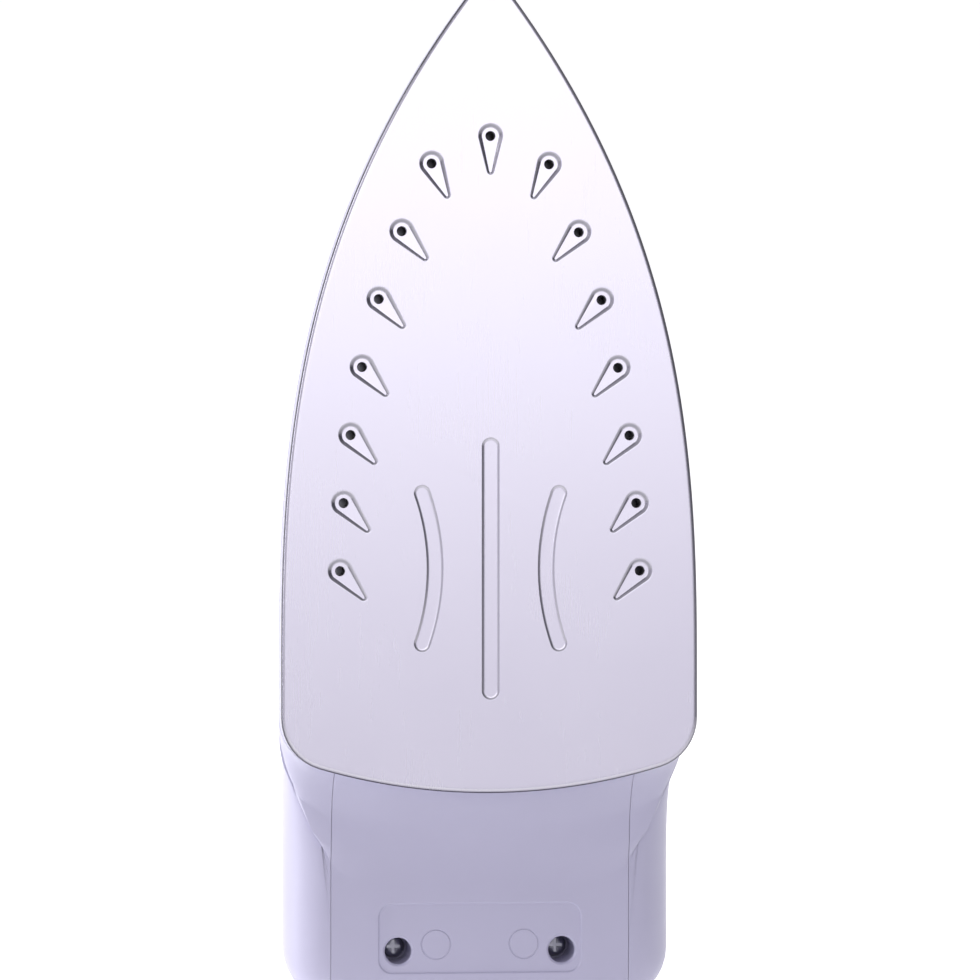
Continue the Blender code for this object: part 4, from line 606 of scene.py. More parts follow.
direction = sky_node("ShaderNodeTexCoord").outputs["Generated"]
parts = sky_node("ShaderNodeSeparateXYZ", {}, {"Vector": direction}).outputs


def share_along(axis, start, end):
    """0 to 1 as the direction of view goes from start to end along that axis."""
    inputs = {"Value": parts[axis], "From Min": start, "From Max": end}
    return sky_node("ShaderNodeMapRange", {}, inputs).outputs[0]


def sky_blend(first, second, share):
    inputs = {0: share, 6: first, 7: second}
    return sky_node("ShaderNodeMix", {"data_type": "RGBA"}, inputs).outputs[2]


behind = share_along("Y", -0.15, 0.35)
front = sky_blend(LAVENDER_LOW, LAVENDER_HIGH, share_along("Z", 0.0, 0.5))
front = sky_blend(front, DARK_SIDE, share_along("X", 0.15, 0.95))
shade = sky_blend(front, PALE_BACK, behind)
light = sky_node("ShaderNodeBackground", {}, {"Color": shade, "Strength": 1.0}).outputs[0]
sky_node("ShaderNodeOutputWorld", {}, {"Surface": light})
print("white behind, lavender in front")

# %% [markdown]
# ## The outline of the sole
# The flank is one power curve from the tip to the widest place, with a small arc at the tip, long
# arcs at the heel and round corners between. The body keeps the same curve at every height, with
# a narrower waist, so the nose and flanks stay in one family.

# %% The plan outline at any height
SOLE_LENGTH = 228 * mm
SOLE_HALF_WIDTH = 57.7 * mm
FLANK_RUN = 195 * mm
FLANK_POWER = 2.69
TIP_START = 3 * mm
HEEL_RADIUS = 166 * mm
HEEL_CORNER = 14.5 * mm
TIP_STEPS, FLANK_STEPS, SIDE_STEPS, CORNER_STEPS, HEEL_STEPS = 8, 56, 18, 8, 14
SHARED_STEPS, SHARED_SIDE_END = 12, -13 * mm  # side points that every height shares, so none fold


def flank(s, half_width, run):
    return half_width * (1 - (1 - min(s / run, 1)) ** FLANK_POWER)


def flank_slope(s, half_width, run):
    return half_width * FLANK_POWER / run * (1 - min(s / run, 1)) ** (FLANK_POWER - 1)


def ease(t):
    t = max(0, min(1, t))
    return t * t * (3 - 2 * t)


def plan(apex, half_width, run, tip, heel, corner, heel_radius=None, tail_half_width=None):
    """Half an outline from the tip to the heel, then its mirror image."""
    tail_half_width = tail_half_width or half_width
    tip_x, slope = flank(tip, half_width, run), math.atan(flank_slope(tip, half_width, run))
    tip_radius = tip_x / math.cos(slope)
    tip_middle = apex - tip - tip_x * math.tan(slope)
    side = []
    for k in range(TIP_STEPS):
        a = math.pi / 2 - (math.pi / 2 - slope) * k / TIP_STEPS
        side.append((tip_radius * math.cos(a), tip_middle + tip_radius * math.sin(a)))
    for k in range(FLANK_STEPS + 1):
        s = tip + (run - tip) * k / FLANK_STEPS
        side.append((flank(s, half_width, run), apex - s))

    def side_x(y):
        return half_width - (half_width - tail_half_width) * ease((14 * mm - y) / (38 * mm))

    corner_x = side_x(heel + corner)
    if heel_radius:
        reach = math.sqrt((heel_radius - corner) ** 2 - (corner_x - corner) ** 2)
        corner_y = heel + heel_radius - reach
        corner_end = -math.atan2(reach, corner_x - corner)
    else:
        corner_y, corner_end = heel + corner, -math.pi / 2
    side_start = apex - run
    shared = max(corner_y + 0.6 * mm, SHARED_SIDE_END)
    for k in range(1, SIDE_STEPS):
        near = k <= SHARED_STEPS
        y = side_start + (shared - side_start) * k / SHARED_STEPS
        if not near:
            y = shared + (corner_y - shared) * (k - SHARED_STEPS) / (SIDE_STEPS - SHARED_STEPS)
        side.append((side_x(y), y))
    for k in range(CORNER_STEPS + 1):
        a = corner_end * k / CORNER_STEPS
        side.append((corner_x - corner + corner * math.cos(a), corner_y + corner * math.sin(a)))
    end_x, end_y = side[-1]
    for k in range(1, HEEL_STEPS + 1):
        x = end_x * (1 - k / HEEL_STEPS)
        side.append((x, heel + heel_radius - math.sqrt(heel_radius**2 - x**2) if heel_radius else end_y))
    return side + [(-x, y) for x, y in reversed(side[1:-1])]


def sole_outline(distance=0.0):
    outline = plan(SOLE_LENGTH, SOLE_HALF_WIDTH, FLANK_RUN, TIP_START, 0, HEEL_CORNER, HEEL_RADIUS)
    return inset(outline, distance)


def flank_at(y, distance):
    """x of the sole's flank at y, once the flank is moved inwards by a distance."""
    rows = []
    for k in range(200, 0, -1):
        s = FLANK_RUN * k / 200
        a = math.atan(flank_slope(s, SOLE_HALF_WIDTH, FLANK_RUN))
        along, across = SOLE_LENGTH - s - distance * math.sin(a), flank(s, SOLE_HALF_WIDTH, FLANK_RUN)
        rows.append((along, across - distance * math.cos(a)))
    for (y0, x0), (y1, x1) in zip(rows, rows[1:]):
        if y <= y1:
            return x0 + (x1 - x0) * max(0, y - y0) / (y1 - y0)
    return rows[-1][1]


print(f"sole {SOLE_LENGTH / mm:.0f} x {2 * SOLE_HALF_WIDTH / mm:.1f} mm, {len(sole_outline())} points")

# %% [markdown]
# ## The sole plate
# It is one pressing of stainless sheet: a flat face, a rolled rim, fifteen steam vents that each
# open into a drop-shaped dent, and three long grooves. Bump would fake the dents from straight
# ahead only, so they are cut with sloped-wall cutters that leave real lips.

# %% Drops and grooves
VENT_INSET = 15.8 * mm
VENT_FIRST_Y, VENT_PITCH, VENTS_A_SIDE, VENT_APEX_Y = 61.3 * mm, 18.7 * mm, 7, 181.2 * mm
VENT_HOLE_RADIUS = 1.4 * mm
DROP_RADIUS, DROP_TAIL_RADIUS, DROP_LENGTH = 3.25 * mm, 0.85 * mm, 10.6 * mm
DROP_TURN, DROP_TURN_FRONT = math.radians(41.5), math.radians(26)
DROP_DEPTH = 0.85 * mm
DROP_WALL = 0.85 * mm  # how far a drop's wall slopes in on its way down
LIP = 0.16 * mm


def vents():
    """Each vent's middle, with the angle by which its drop's tail turns inwards."""
    places = [(0, VENT_APEX_Y, 0)]
    for k in range(VENTS_A_SIDE):
        y = VENT_FIRST_Y + VENT_PITCH * k
        x = flank_at(y, VENT_INSET)
        turn = DROP_TURN_FRONT if k == VENTS_A_SIDE - 1 else DROP_TURN
        places += [(x, y, turn), (-x, y, -turn)]
    return places


def drop_outline(x, y, turn, shrink, scale=1.0):
    """A drop whose round end surrounds (x, y); the narrow end shrinks less, so it never folds."""
    reach = (DROP_LENGTH - DROP_TAIL_RADIUS) * scale
    opening = math.acos((DROP_RADIUS - DROP_TAIL_RADIUS) * scale / reach)
    down = Vector((-math.sin(turn), -math.cos(turn)))
    across = Vector((down.y, -down.x))
    outline = []
    for radius, start, first, last, steps in (
        (DROP_RADIUS * scale, 0, opening, 2 * math.pi - opening, 28),
        (DROP_TAIL_RADIUS * scale, reach, -opening, opening, 10),
    ):
        held = radius - shrink * min(1, 0.62 * radius / (shrink + 1e-9)) if shrink > 0 else radius - shrink
        for k in range(steps + 1):
            a = first + (last - first) * k / steps
            outline.append(
                tuple(
                    Vector((x, y)) + down * (
                        start + held * math.cos(a)
                    ) + across * held * math.sin(a)
                )
            )
    return outline


def drop_cutter(x, y, turn):
    """From above the face down the sloped wall to a floor that climbs toward the drop's tail."""
    rings = [at_height(drop_outline(x, y, turn, -2 * LIP), -2 * mm)]
    for shrink, depth in (
        (-2 * LIP, 0), (-LIP, 0.04), (0, 0.14), (0.5, 0.62), (0.86, 0.92), (1.0, 1.0), (1.12, 1.02)
    ):
        part = shrink * DROP_WALL if shrink > 0 else shrink
        ring = []
        for px, py in drop_outline(x, y, turn, part):
            toward_tail = math.hypot(px - x, py - y) / DROP_LENGTH
            ring.append((px, py, depth * DROP_DEPTH * (1 - 0.35 * toward_tail)))
        rings.append(ring)
    return loft(rings)


def slot(path, width):
    """The outline of a groove of that width with round ends, along (x, y) points."""
    path = [Vector(p) for p in path]
    right, left = [], []
    for i, here in enumerate(path):
        along = (path[min(i + 1, len(path) - 1)] - path[max(i - 1, 0)]).normalized()
        across = Vector((along.y, -along.x)) * width / 2
        right.append(tuple(here + across))
        left.append(tuple(here - across))

    def end(middle, start):
        arm = Vector(start) - middle
        return [tuple(middle + Matrix.Rotation(math.pi * k / 12, 2) @ arm) for k in range(1, 12)]

    return right + end(path[-1], right[-1]) + left[::-1] + end(path[0], left[0])


GROOVE_WIDTH, GROOVE_FROM_Y, GROOVE_TO_Y = 4.7 * mm, 25.9 * mm, 98 * mm
SIDE_GROOVE_WIDTH, SIDE_GROOVE_RADIUS, SIDE_GROOVE_SPAN = 4.4 * mm, 62 * mm, math.radians(19.5)
SIDE_GROOVE_AT = (15.4 * mm, 62 * mm)
GROOVE_DEPTH = 0.5 * mm


def groove_outlines():
    half = GROOVE_WIDTH / 2
    outlines = [slot([(0, GROOVE_FROM_Y + half), (0, GROOVE_TO_Y - half)], GROOVE_WIDTH)]
    for side in (-1, 1):
        path = []
        for k in range(25):
            a = SIDE_GROOVE_SPAN * (k / 12 - 1)
            x = SIDE_GROOVE_AT[0] + SIDE_GROOVE_RADIUS * (1 - math.cos(a))
            path.append((side * x, SIDE_GROOVE_AT[1] + SIDE_GROOVE_RADIUS * math.sin(a)))
        outlines.append(slot(path, SIDE_GROOVE_WIDTH))
    return outlines


print(len(vents()), "vents,", len(groove_outlines()), "grooves")

# %% The pressed sheet
SHEET, TRAY_HEIGHT, TRAY_WALL = 1.6 * mm, 3 * mm, 1.6 * mm
RIM = 1.25 * mm  # radius of the rolled rim


def sole_plate():
    rings = [at_height(sole_outline(RIM + 0.6 * mm), 0), at_height(sole_outline(RIM + 0.05 * mm), 0)]
    for k in range(9):
        a = math.pi / 2 * (0.12 + 0.88 * k / 8)
        rings.append(at_height(sole_outline(RIM * (1 - math.sin(a))), RIM * (1 - math.cos(a))))
    lid = 0.25 * mm
    rings += [at_height(sole_outline(), TRAY_HEIGHT - lid), at_height(sole_outline(lid), TRAY_HEIGHT)]
    rings += [at_height(sole_outline(TRAY_WALL), TRAY_HEIGHT), at_height(sole_outline(TRAY_WALL), SHEET)]
    sole = loft(rings)
    cut(sole, merged([drop_cutter(*vent) for vent in vents()]))
    cut(sole, merged([pocket(outline, GROOVE_DEPTH, 0, LIP, 0.75 * mm) for outline in groove_outlines()]))
    cut(sole, merged([upright(x, y, -1 * mm, SHEET + mm, VENT_HOLE_RADIUS) for x, y, _ in vents()]))
    return fit(sole, "sole_plate_pressed", SATIN_STEEL, stands_for=["sole_plate"], crease=40)


sole_plate()

# %% [markdown]
# ## Skirt, body shell and rear cover
# The skirt is a heat-proof ring between steel and shell. The shell is one loft of the plan
# outline: concave under the tail, upright at the waist, round at the shoulder. The rear cover is
# the same loft kept inside a slab, so both sides of the seam always match.

# %% The body's form
SKIRT_TOP, SKIRT_WALL, CASTING_TOP = 10 * mm, 2.3 * mm, 8 * mm
DECK_Z, WAIST_Z, TAIL_Z = 64 * mm, 42 * mm, 26 * mm
WAIST_HALF_WIDTH, DECK_HALF_WIDTH, COVER_HALF_WIDTH = 54.5 * mm, 44 * mm, 42 * mm
APEX_RECEDE, NOSE_BLUNTING, FLANK_END_Y = 32 * mm, 24 * mm, 33 * mm
TAIL_LENGTH, RAMP_LENGTH, TAIL_CORNER, TAIL_EDGE = 62 * mm, 28 * mm, 14 * mm, 4 * mm
WALL, PLAY = 2.4 * mm, 0.3 * mm
DECK_EDGE = 2.5 * mm
BODY_FROM = 10.3 * mm


def heel_plane_y(z):
    return -TAIL_LENGTH + (z - TAIL_Z) * math.tan(LEAN)


def heel_y(z):
    """Where the body ends at the rear: down the concave ramp, then along the heel rest."""
    if z < TAIL_Z - 0.01 * mm:
        climb = (z - SKIRT_TOP) / (TAIL_Z - SKIRT_TOP)
        return -RAMP_LENGTH * (1 - math.sqrt(max(0, 1 - climb**2)))
    drop = min(1, max(0, 1 - (z - TAIL_Z) / TAIL_EDGE))
    return heel_plane_y(z) + TAIL_EDGE * (1 - math.sqrt(1 - drop**2))


def body_half_width(z):
    if z < WAIST_Z:
        share = ease((z - SKIRT_TOP) / (WAIST_Z - SKIRT_TOP))
        return SOLE_HALF_WIDTH + (WAIST_HALF_WIDTH - SOLE_HALF_WIDTH) * share
    climb = min(1, (z - WAIST_Z) / (DECK_Z - WAIST_Z))
    return DECK_HALF_WIDTH + (WAIST_HALF_WIDTH - DECK_HALF_WIDTH) * math.sqrt(1 - climb**2)


def tail_half_width(z):
    rounding = WAIST_HALF_WIDTH - COVER_HALF_WIDTH
    if z < TAIL_Z - 0.01 * mm:
        share = ((z - SKIRT_TOP) / (TAIL_Z - SKIRT_TOP)) ** 2
        return body_half_width(z) + (COVER_HALF_WIDTH - body_half_width(z)) * share
    if z > TAIL_Z + rounding:
        return body_half_width(z)
    drop = min(1, 1 - (z - TAIL_Z) / rounding)
    return COVER_HALF_WIDTH + rounding * math.sqrt(1 - drop**2)


def flank_limit(y, z):
    """How wide the ramp may be at y, so that it never overhangs the tail's flank above it."""
    wide = body_half_width(z)
    return wide - (wide - tail_half_width(z)) * ease((14 * mm - y) / (38 * mm)) - 0.02 * mm


def body_outline(z, distance=0.0):
    """The body's outline at a height, moved inwards by a distance and rounded at the deck."""
    climb = max(0, min(1, (z - SKIRT_TOP) / (DECK_Z - SKIRT_TOP)))
    apex = SOLE_LENGTH - APEX_RECEDE * climb**1.5
    over = max(0, min(1, (z - DECK_Z + DECK_EDGE) / DECK_EDGE))
    outline = plan(
        apex,
        body_half_width(z),
        apex - FLANK_END_Y,
        TIP_START + NOSE_BLUNTING * climb,
        heel_y(z),
        TAIL_CORNER,
        HEEL_RADIUS if z < TAIL_Z - 2 * mm else None,
        tail_half_width(z),
    )
    if z < TAIL_Z:
        outline = [(math.copysign(min(abs(x), flank_limit(y, z)), x), y) for x, y in outline]
    return inset(outline, distance + 0.6 * DECK_EDGE * (1 - math.sqrt(1 - over**2)))


def steps(first, last, count, start=0, end=90):
    """Heights that follow a quarter circle, so that a rounded form gets even facets."""
    low, high = math.sin(math.radians(start)), math.sin(math.radians(end))
    turn = [math.radians(start + (end - start) * k / count) for k in range(count + 1)]
    return [first + (last - first) * (math.sin(a) - low) / (high - low) for a in turn]


RAMP_LEVELS = steps(BODY_FROM, TAIL_Z - 0.02 * mm, 14)
CORNER_LEVELS = [
    TAIL_Z,
    *[
        TAIL_Z + (WAIST_HALF_WIDTH - COVER_HALF_WIDTH) * (1 - math.cos(math.radians(a)))
        for a in range(9, 91, 9)
    ],
]
SHOULDER_LEVELS = steps(WAIST_Z, DECK_Z - DECK_EDGE, 12, 0, 62) + steps(DECK_Z - DECK_EDGE, DECK_Z, 6)[1:]
BODY_LEVELS = RAMP_LEVELS + CORNER_LEVELS + [40.3 * mm] + SHOULDER_LEVELS


def body_solid(grow=0.0):
    rings = [at_height(body_outline(z, -grow), z) for z in BODY_LEVELS]
    rings[0] = [(x, y, z - grow) for x, y, z in rings[0]]
    rings[-1] = [(x, y, z + grow) for x, y, z in rings[-1]]
    return loft(rings)


def cavity_height(z):
    """The outer level whose outline, moved in by the wall, bounds the cavity at height z."""
    return z - WALL + 2 * WALL * ease((z - WAIST_Z) / (DECK_Z - WALL - WAIST_Z))


def body_cavity():
    levels = [12.4, 16, 20, 24, 26, 28.1, 28.4, 31, 34, 38, 42, 46, 50, 53, 56, 59, 61.6]
    rings = [
        at_height(body_outline(min(cavity_height(z * mm), DECK_Z - DECK_EDGE), WALL), z * mm)
        for z in levels
    ]
    below = [(x, y, SKIRT_TOP - 2 * mm) for x, y, _ in rings[0]]
    return loft([below, *rings])


def skirt():
    top = SKIRT_TOP
    low = TRAY_HEIGHT + PLAY
    edge = 0.35 * mm
    rings = [at_height(sole_outline(SKIRT_WALL), low), at_height(sole_outline(edge), low)]
    rings += [at_height(sole_outline(0.1 * mm), low + 0.1 * mm), at_height(sole_outline(), low + edge)]
    rings += [at_height(sole_outline(), top - edge), at_height(sole_outline(0.1 * mm), top - 0.1 * mm)]
    rings += [at_height(sole_outline(edge), top), at_height(sole_outline(SKIRT_WALL), top)]
    ring = loft(rings, closed=True)
    low_lug = CASTING_TOP + PLAY

    def inside():
        outline = sole_outline(SKIRT_WALL / 2)
        return loft([at_height(outline, 0), at_height(outline, top)])

    for lug in lug_boxes(low_lug, top):
        join(ring, keep(lug, inside()))
    for x, y in SOLE_SCREWS:
        cut(ring, upright(x, y, low_lug - 2 * mm, top + 2 * mm, 2 * mm))
    return fit(ring, "skirt_moulded", LILAC, stands_for=["skirt"])


SOLE_SCREWS = ((0, 203 * mm), (44 * mm, 16 * mm), (-44 * mm, 16 * mm))
BOSS_RADIUS = 4.5 * mm


def lug_boxes(low, high):
    """The lugs that the three sole screws go through."""
    reach = SOLE_HALF_WIDTH - 1 * mm
    made = []
    for x, y in SOLE_SCREWS:
        near, far = (-30 * mm, 30 * mm) if x == 0 else sorted(
            (math.copysign(reach, x), x - math.copysign(BOSS_RADIUS, x))
        )
        made.append(box((near, y - BOSS_RADIUS, low), (far, y + BOSS_RADIUS, high)))
    return made


skirt()

# %% Body shell
DIAL_Y, DIAL_RADIUS, DIAL_HEIGHT, DIAL_PROUD = 70 * mm, 26 * mm, 9 * mm, 4.5 * mm
RUN_PLAY = 0.4 * mm
CLEAN_Y, CLEAN_RADIUS = 112 * mm, 5.5 * mm
SELECTOR_Y, NEEDLE_RADIUS = 162 * mm, 1.5 * mm
STEAM_HOSE, HOSE_RADIUS = (-12 * mm, 152.5 * mm), 1.9 * mm
CABLE_Y, CABLE_HOLE_RADIUS = -25 * mm, 6 * mm
HANDLE_SCREW = (31 * mm, -20 * mm)
COVER_SCREW = (23.1 * mm, -45.7 * mm)
COVER_BORE_RADIUS, COVER_BORE_DEPTH, COVER_SEAT = 3.75 * mm, 17 * mm, 2.5 * mm
COVER_SEAT_TOP = TAIL_Z + COVER_BORE_DEPTH + COVER_SEAT
COVER_FRONT_Y, COVER_TOP_Z = 10 * mm, 60 * mm
DIAL_FLOOR = DECK_Z - (DIAL_HEIGHT - DIAL_PROUD) - RUN_PLAY
FILLER_RADIUS, SEAT_DEPTH, SEAT_RADIUS = 8.5 * mm, 7.5 * mm, 11.2 * mm
HINGE_REACH, HINGE_RISE, BARREL_RADIUS, BARREL_LENGTH = 16.5 * mm, 2.4 * mm, 2.3 * mm, 12 * mm
HINGE_PIN_RADIUS, LUG_WIDTH, LUG_DEPTH = 1.1 * mm, 2.4 * mm, 3.8 * mm
NOSE = Matrix.Translation((0, 201 * mm, 45.5 * mm)) @ Matrix.Rotation(
    -math.radians(45), 4, "X"
) @ Matrix.Rotation(math.pi, 4, "Z")


def on_nose(piece):
    """Moves a piece drawn about the filler's axis to the filler on the nose."""
    piece.data.transform(NOSE)
    return piece


SEAM = 0.1 * mm  # the fine seam that shows round the rear cover


def cover_slab(gap=0.0):
    half = COVER_HALF_WIDTH + gap
    return box((-half, -150 * mm, 0), (half, COVER_FRONT_Y + gap, COVER_TOP_Z + gap))


def cross_bar(half, radius, sides=24):
    """A bar along the filler's hinge."""
    return turned([(0, radius), (2 * half, radius)], (-half, HINGE_REACH, HINGE_RISE), (1, 0, 0), sides)


def hinge_lugs():
    lugs = []
    for side in (-1, 1):
        near = side * (BARREL_LENGTH / 2 + PLAY)
        low, high = sorted((near, near + side * LUG_WIDTH))
        lug = box((low, HINGE_REACH - 2.2 * mm, -LUG_DEPTH), (high, HINGE_REACH + 2.2 * mm, HINGE_RISE))
        edge = 0.4 * mm
        round_end = [(0, BARREL_RADIUS - edge), (edge, BARREL_RADIUS), (LUG_WIDTH - edge, BARREL_RADIUS)]
        round_end.append((LUG_WIDTH, BARREL_RADIUS - edge))
        lugs.append(on_nose(join(lug, turned(round_end, (low, HINGE_REACH, HINGE_RISE), (1, 0, 0)))))
    return lugs


def body_shell():
    seat = lambda: on_nose(upright(0, 0, -SEAT_DEPTH, 0, SEAT_RADIUS))
    shell = join(
        body_solid(),
        on_nose(
            turned(
                [
                    (0, SEAT_RADIUS),
                    (SEAT_DEPTH - 0.8 * mm, SEAT_RADIUS),
                    (SEAT_DEPTH, SEAT_RADIUS - 0.8 * mm),
                ],
                (0, 0, -SEAT_DEPTH),
            )
        ),
    )
    cut(shell, cut(body_cavity(), seat()), cover_slab(SEAM))
    low = SKIRT_TOP + PLAY
    for lug in lug_boxes(low, low + 2 * mm):
        inside = [at_height(body_outline(low, WALL / 2), z) for z in (low - mm, low + 3 * mm)]
        join(shell, keep(lug, loft(inside)))
    well = upright(0, DIAL_Y, DIAL_FLOOR - WALL, DECK_Z - 1 * mm, DIAL_RADIUS + RUN_PLAY + WALL, 96)
    join(shell, well, *hinge_lugs())
    cut(shell, flared(0, DIAL_Y, DIAL_FLOOR, DECK_Z, DIAL_RADIUS + RUN_PLAY, 0.6 * mm, 96))
    cut(shell, flared(0, CLEAN_Y, DECK_Z - 6 * mm, DECK_Z, CLEAN_RADIUS + RUN_PLAY, 0.4 * mm))
    far = DECK_Z + 2 * mm
    cut(shell, upright(0, DIAL_Y, DECK_Z - 20 * mm, DECK_Z, 2.5 * mm + RUN_PLAY))
    cut(shell, upright(0, SELECTOR_Y, DECK_Z - 6 * mm, far, NEEDLE_RADIUS + RUN_PLAY))
    cut(shell, upright(*STEAM_HOSE, DECK_Z - 6 * mm, far, HOSE_RADIUS + PLAY))
    cut(shell, upright(0, CABLE_Y, DECK_Z - 6 * mm, far, CABLE_HOLE_RADIUS))
    for x, y in SOLE_SCREWS:
        cut(shell, upright(x, y, low - mm, low + 3 * mm, 2 * mm))
    for side in (-1, 1):
        cut(shell, upright(side * HANDLE_SCREW[0], HANDLE_SCREW[1], DECK_Z - 6 * mm, far, 2 * mm))
        x, y = side * COVER_SCREW[0], COVER_SCREW[1]
        boss = upright(x, y, COVER_SEAT_TOP + PLAY, DECK_Z - 1 * mm, BOSS_RADIUS)
        join(shell, boss)
        cut(shell, upright(x, y, COVER_SEAT_TOP - mm, COVER_SEAT_TOP + 9 * mm, 1.95 * mm))
    cut(shell, on_nose(flared(0, 0, -30 * mm, 0, FILLER_RADIUS, 0.5 * mm)))
    cut(shell, on_nose(cross_bar(BARREL_LENGTH / 2 + LUG_WIDTH + mm, HINGE_PIN_RADIUS + PLAY)))
    return fit(shell, "body_shell_moulded", LILAC, stands_for=["body_shell"])


body_shell()

# %% Rear cover
PANEL = (57.4 * mm, 19.7 * mm, 4 * mm, (0, -42.2 * mm))
PANEL_DEPTH = 0.5 * mm
MARK_X, MARK_Y, MARK_RADIUS = 12.4 * mm, -43.9 * mm, 4.15 * mm


def rear_cover():
    cover = keep(cut(body_solid(), body_cavity()), cover_slab())
    floor = TAIL_Z + PANEL_DEPTH
    for side in (-1, 1):
        x, y = side * COVER_SCREW[0], COVER_SCREW[1]
        join(cover, upright(x, y, TAIL_Z + 1 * mm, COVER_SEAT_TOP, 5.8 * mm))
    cut(cover, pocket(rounded_rectangle(*PANEL), floor, TAIL_Z, 0.2 * mm, 0.25 * mm))
    for side in (-1, 1):
        x, y = side * COVER_SCREW[0], COVER_SCREW[1]
        wide = COVER_BORE_RADIUS + 0.55 * mm
        profile = [(0, wide + 0.3 * mm), (2 * mm, wide), (2.55 * mm, COVER_BORE_RADIUS)]
        bore = turned(
            [*profile, (2 * mm - PANEL_DEPTH + COVER_BORE_DEPTH, COVER_BORE_RADIUS)],
            (x, y, floor - 2 * mm),
        )
        cut(cover, bore, upright(x, y, COVER_SEAT_TOP - 5 * mm, COVER_SEAT_TOP + 2 * mm, 2 * mm))
        groove = 0.22 * mm
        rim = [(0, MARK_RADIUS + groove), (mm, MARK_RADIUS + groove), (mm + 0.18 * mm, MARK_RADIUS)]
        mark = turned([*rim, (mm + 0.18 * mm, MARK_RADIUS - groove)], (side * MARK_X, MARK_Y, floor - mm))
        keep_middle = turned(
            [(0, MARK_RADIUS - groove), (mm, MARK_RADIUS - groove), (2 * mm, MARK_RADIUS)],
            (side * MARK_X, MARK_Y, floor - mm + 0.06 * mm),
        )
        cut(cover, cut(mark, keep_middle))
    return fit(cover, "rear_cover_moulded", LILAC, stands_for=["rear_cover"])


rear_cover()

# %% [markdown]
# ## The screws
# All seven are one kind of pan-head screw, so one turned profile draws them: a domed head with a
# cross recess, a neck and a run of threads. Rings stand in for the helix of the thread, which
# nobody can tell apart at this size.

# %% Screws
SCREW_RADIUS, SCREW_HEAD_RADIUS, SCREW_HEAD = 1.6 * mm, 3.2 * mm, 2.2 * mm


def screw(name, x, y, seat_z, end_z, side):
    """A screw whose head lies on the far side of seat_z from end_z."""
    length = abs(end_z - seat_z)
    profile = [
        (0, 0),
        *[
            (SCREW_HEAD * (1 - math.cos(a)), SCREW_HEAD_RADIUS * math.sin(a) ** 0.6)
            for a in (0.35, 0.6, 0.85, 1.1, 1.3)
        ],
    ]
    profile += [(SCREW_HEAD - 0.6 * mm, SCREW_HEAD_RADIUS), (SCREW_HEAD, SCREW_HEAD_RADIUS - 0.1 * mm)]
    profile += [(SCREW_HEAD, 1.2 * mm)]
    reach = SCREW_HEAD + 0.8 * mm
    while reach < SCREW_HEAD + length - 1.5 * mm:
        profile += [(reach, 1.2 * mm), (reach + 0.3 * mm, SCREW_RADIUS), (reach + 0.6 * mm, 1.2 * mm)]
        reach += 0.7 * mm
    profile.append((SCREW_HEAD + length, 0.3 * mm))
    start = Vector((x, y, seat_z + side * SCREW_HEAD))
    made = turned(profile, start, (0, 0, -side), 28)
    arm, depth = 1.9 * mm, 1.3 * mm
    for wide, long in ((0.5 * mm, arm), (arm, 0.5 * mm)):
        z = sorted((start.z + side * mm, start.z - side * depth))
        cut(made, box((x - wide, y - long, z[0]), (x + wide, y + long, z[1])))
    return fit(made, f"{name}_turned", PLATED_STEEL, stands_for=[name])


for (x, y), end in zip(SOLE_SCREWS, ("nose", "right", "left")):
    screw(f"sole_screw_{end}", x, y, SKIRT_TOP + 2 * PLAY + 2 * mm, CASTING_TOP - 4.5 * mm, 1)
for side, end in ((-1, "left"), (1, "right")):
    screw(
        f"cover_screw_{end}",
        side * COVER_SCREW[0],
        COVER_SCREW[1],
        COVER_SEAT_TOP - COVER_SEAT - PLAY,
        COVER_SEAT_TOP + 8 * mm,
        -1,
    )
    screw(
        f"handle_screw_{end}",
        side * HANDLE_SCREW[0],
        HANDLE_SCREW[1],
        DECK_Z - WALL - PLAY,
        DECK_Z + PLAY + 6.5 * mm,
        -1,
    )

# %% [markdown]
# ## The handle
# The handle is an arch from the tail to the nose: rounded ribs say where it runs, and a smooth
# curve through them gives the sections between. It is hollow, and split at a parting plane into
# a lower and an upper moulding.

# %% The arch
RIBS = (
    ((20, 50), (-61, 48), 44, 0),
    ((16.5, 66), (-59, 64), 40, 0),
    ((13, 80), (-56.5, 80), 33, 0),
    ((12, 92), (-53.5, 98), 27, 0),
    ((15, 100), (-48, 116), 23, 0),
    ((22, 104.5), (-26, 129.5), 20.5, 0),
    ((34, 106), (6, 133), 19, 0),
    ((54, 106.5), (42, 134.5), 18.5, 0),
    ((80, 106.5), (76, 135), 18.5, 0),
    ((102, 105.5), (106, 135), 20.5, 0),
    ((117, 103), (130, 134.5), 24, 0.03),
    ((126, 98), (152, 131.6), 28, 0.12),
    ((130, 90), (170, 124.5), 30, 0.28),
    ((131, 80), (179, 110), 31, 0.38),
    ((131, 70), (182, 90), 32.5, 0.44),
    ((130, 60), (184, 72), 33.5, 0.5),
    ((129, 48), (185, 54), 34, 0.5),
)
ROUNDNESS = 2.9
RIB_POINTS, RIB_STEPS = 72, 5
HANDLE_WALL, PARTING_Z = 3 * mm, 117 * mm


def between(a, b, c, d, t):
    """A smooth value between b and c."""
    return 0.5 * (2 * b + (c - a) * t + (2 * a - 5 * b + 4 * c - d) * t**2 + (3 * b - 3 * c + d - a) * t**3)


def smooth_ribs():
    rows = [(*inner, *outer, half, narrowing) for inner, outer, half, narrowing in RIBS]
    ends = [rows[0], *rows, rows[-1]]
    for a, b, c, d in zip(ends, ends[1:], ends[2:], ends[3:]):
        for k in range(RIB_STEPS):
            yield [between(*row, k / RIB_STEPS) for row in zip(a, b, c, d)]
    yield rows[-1]


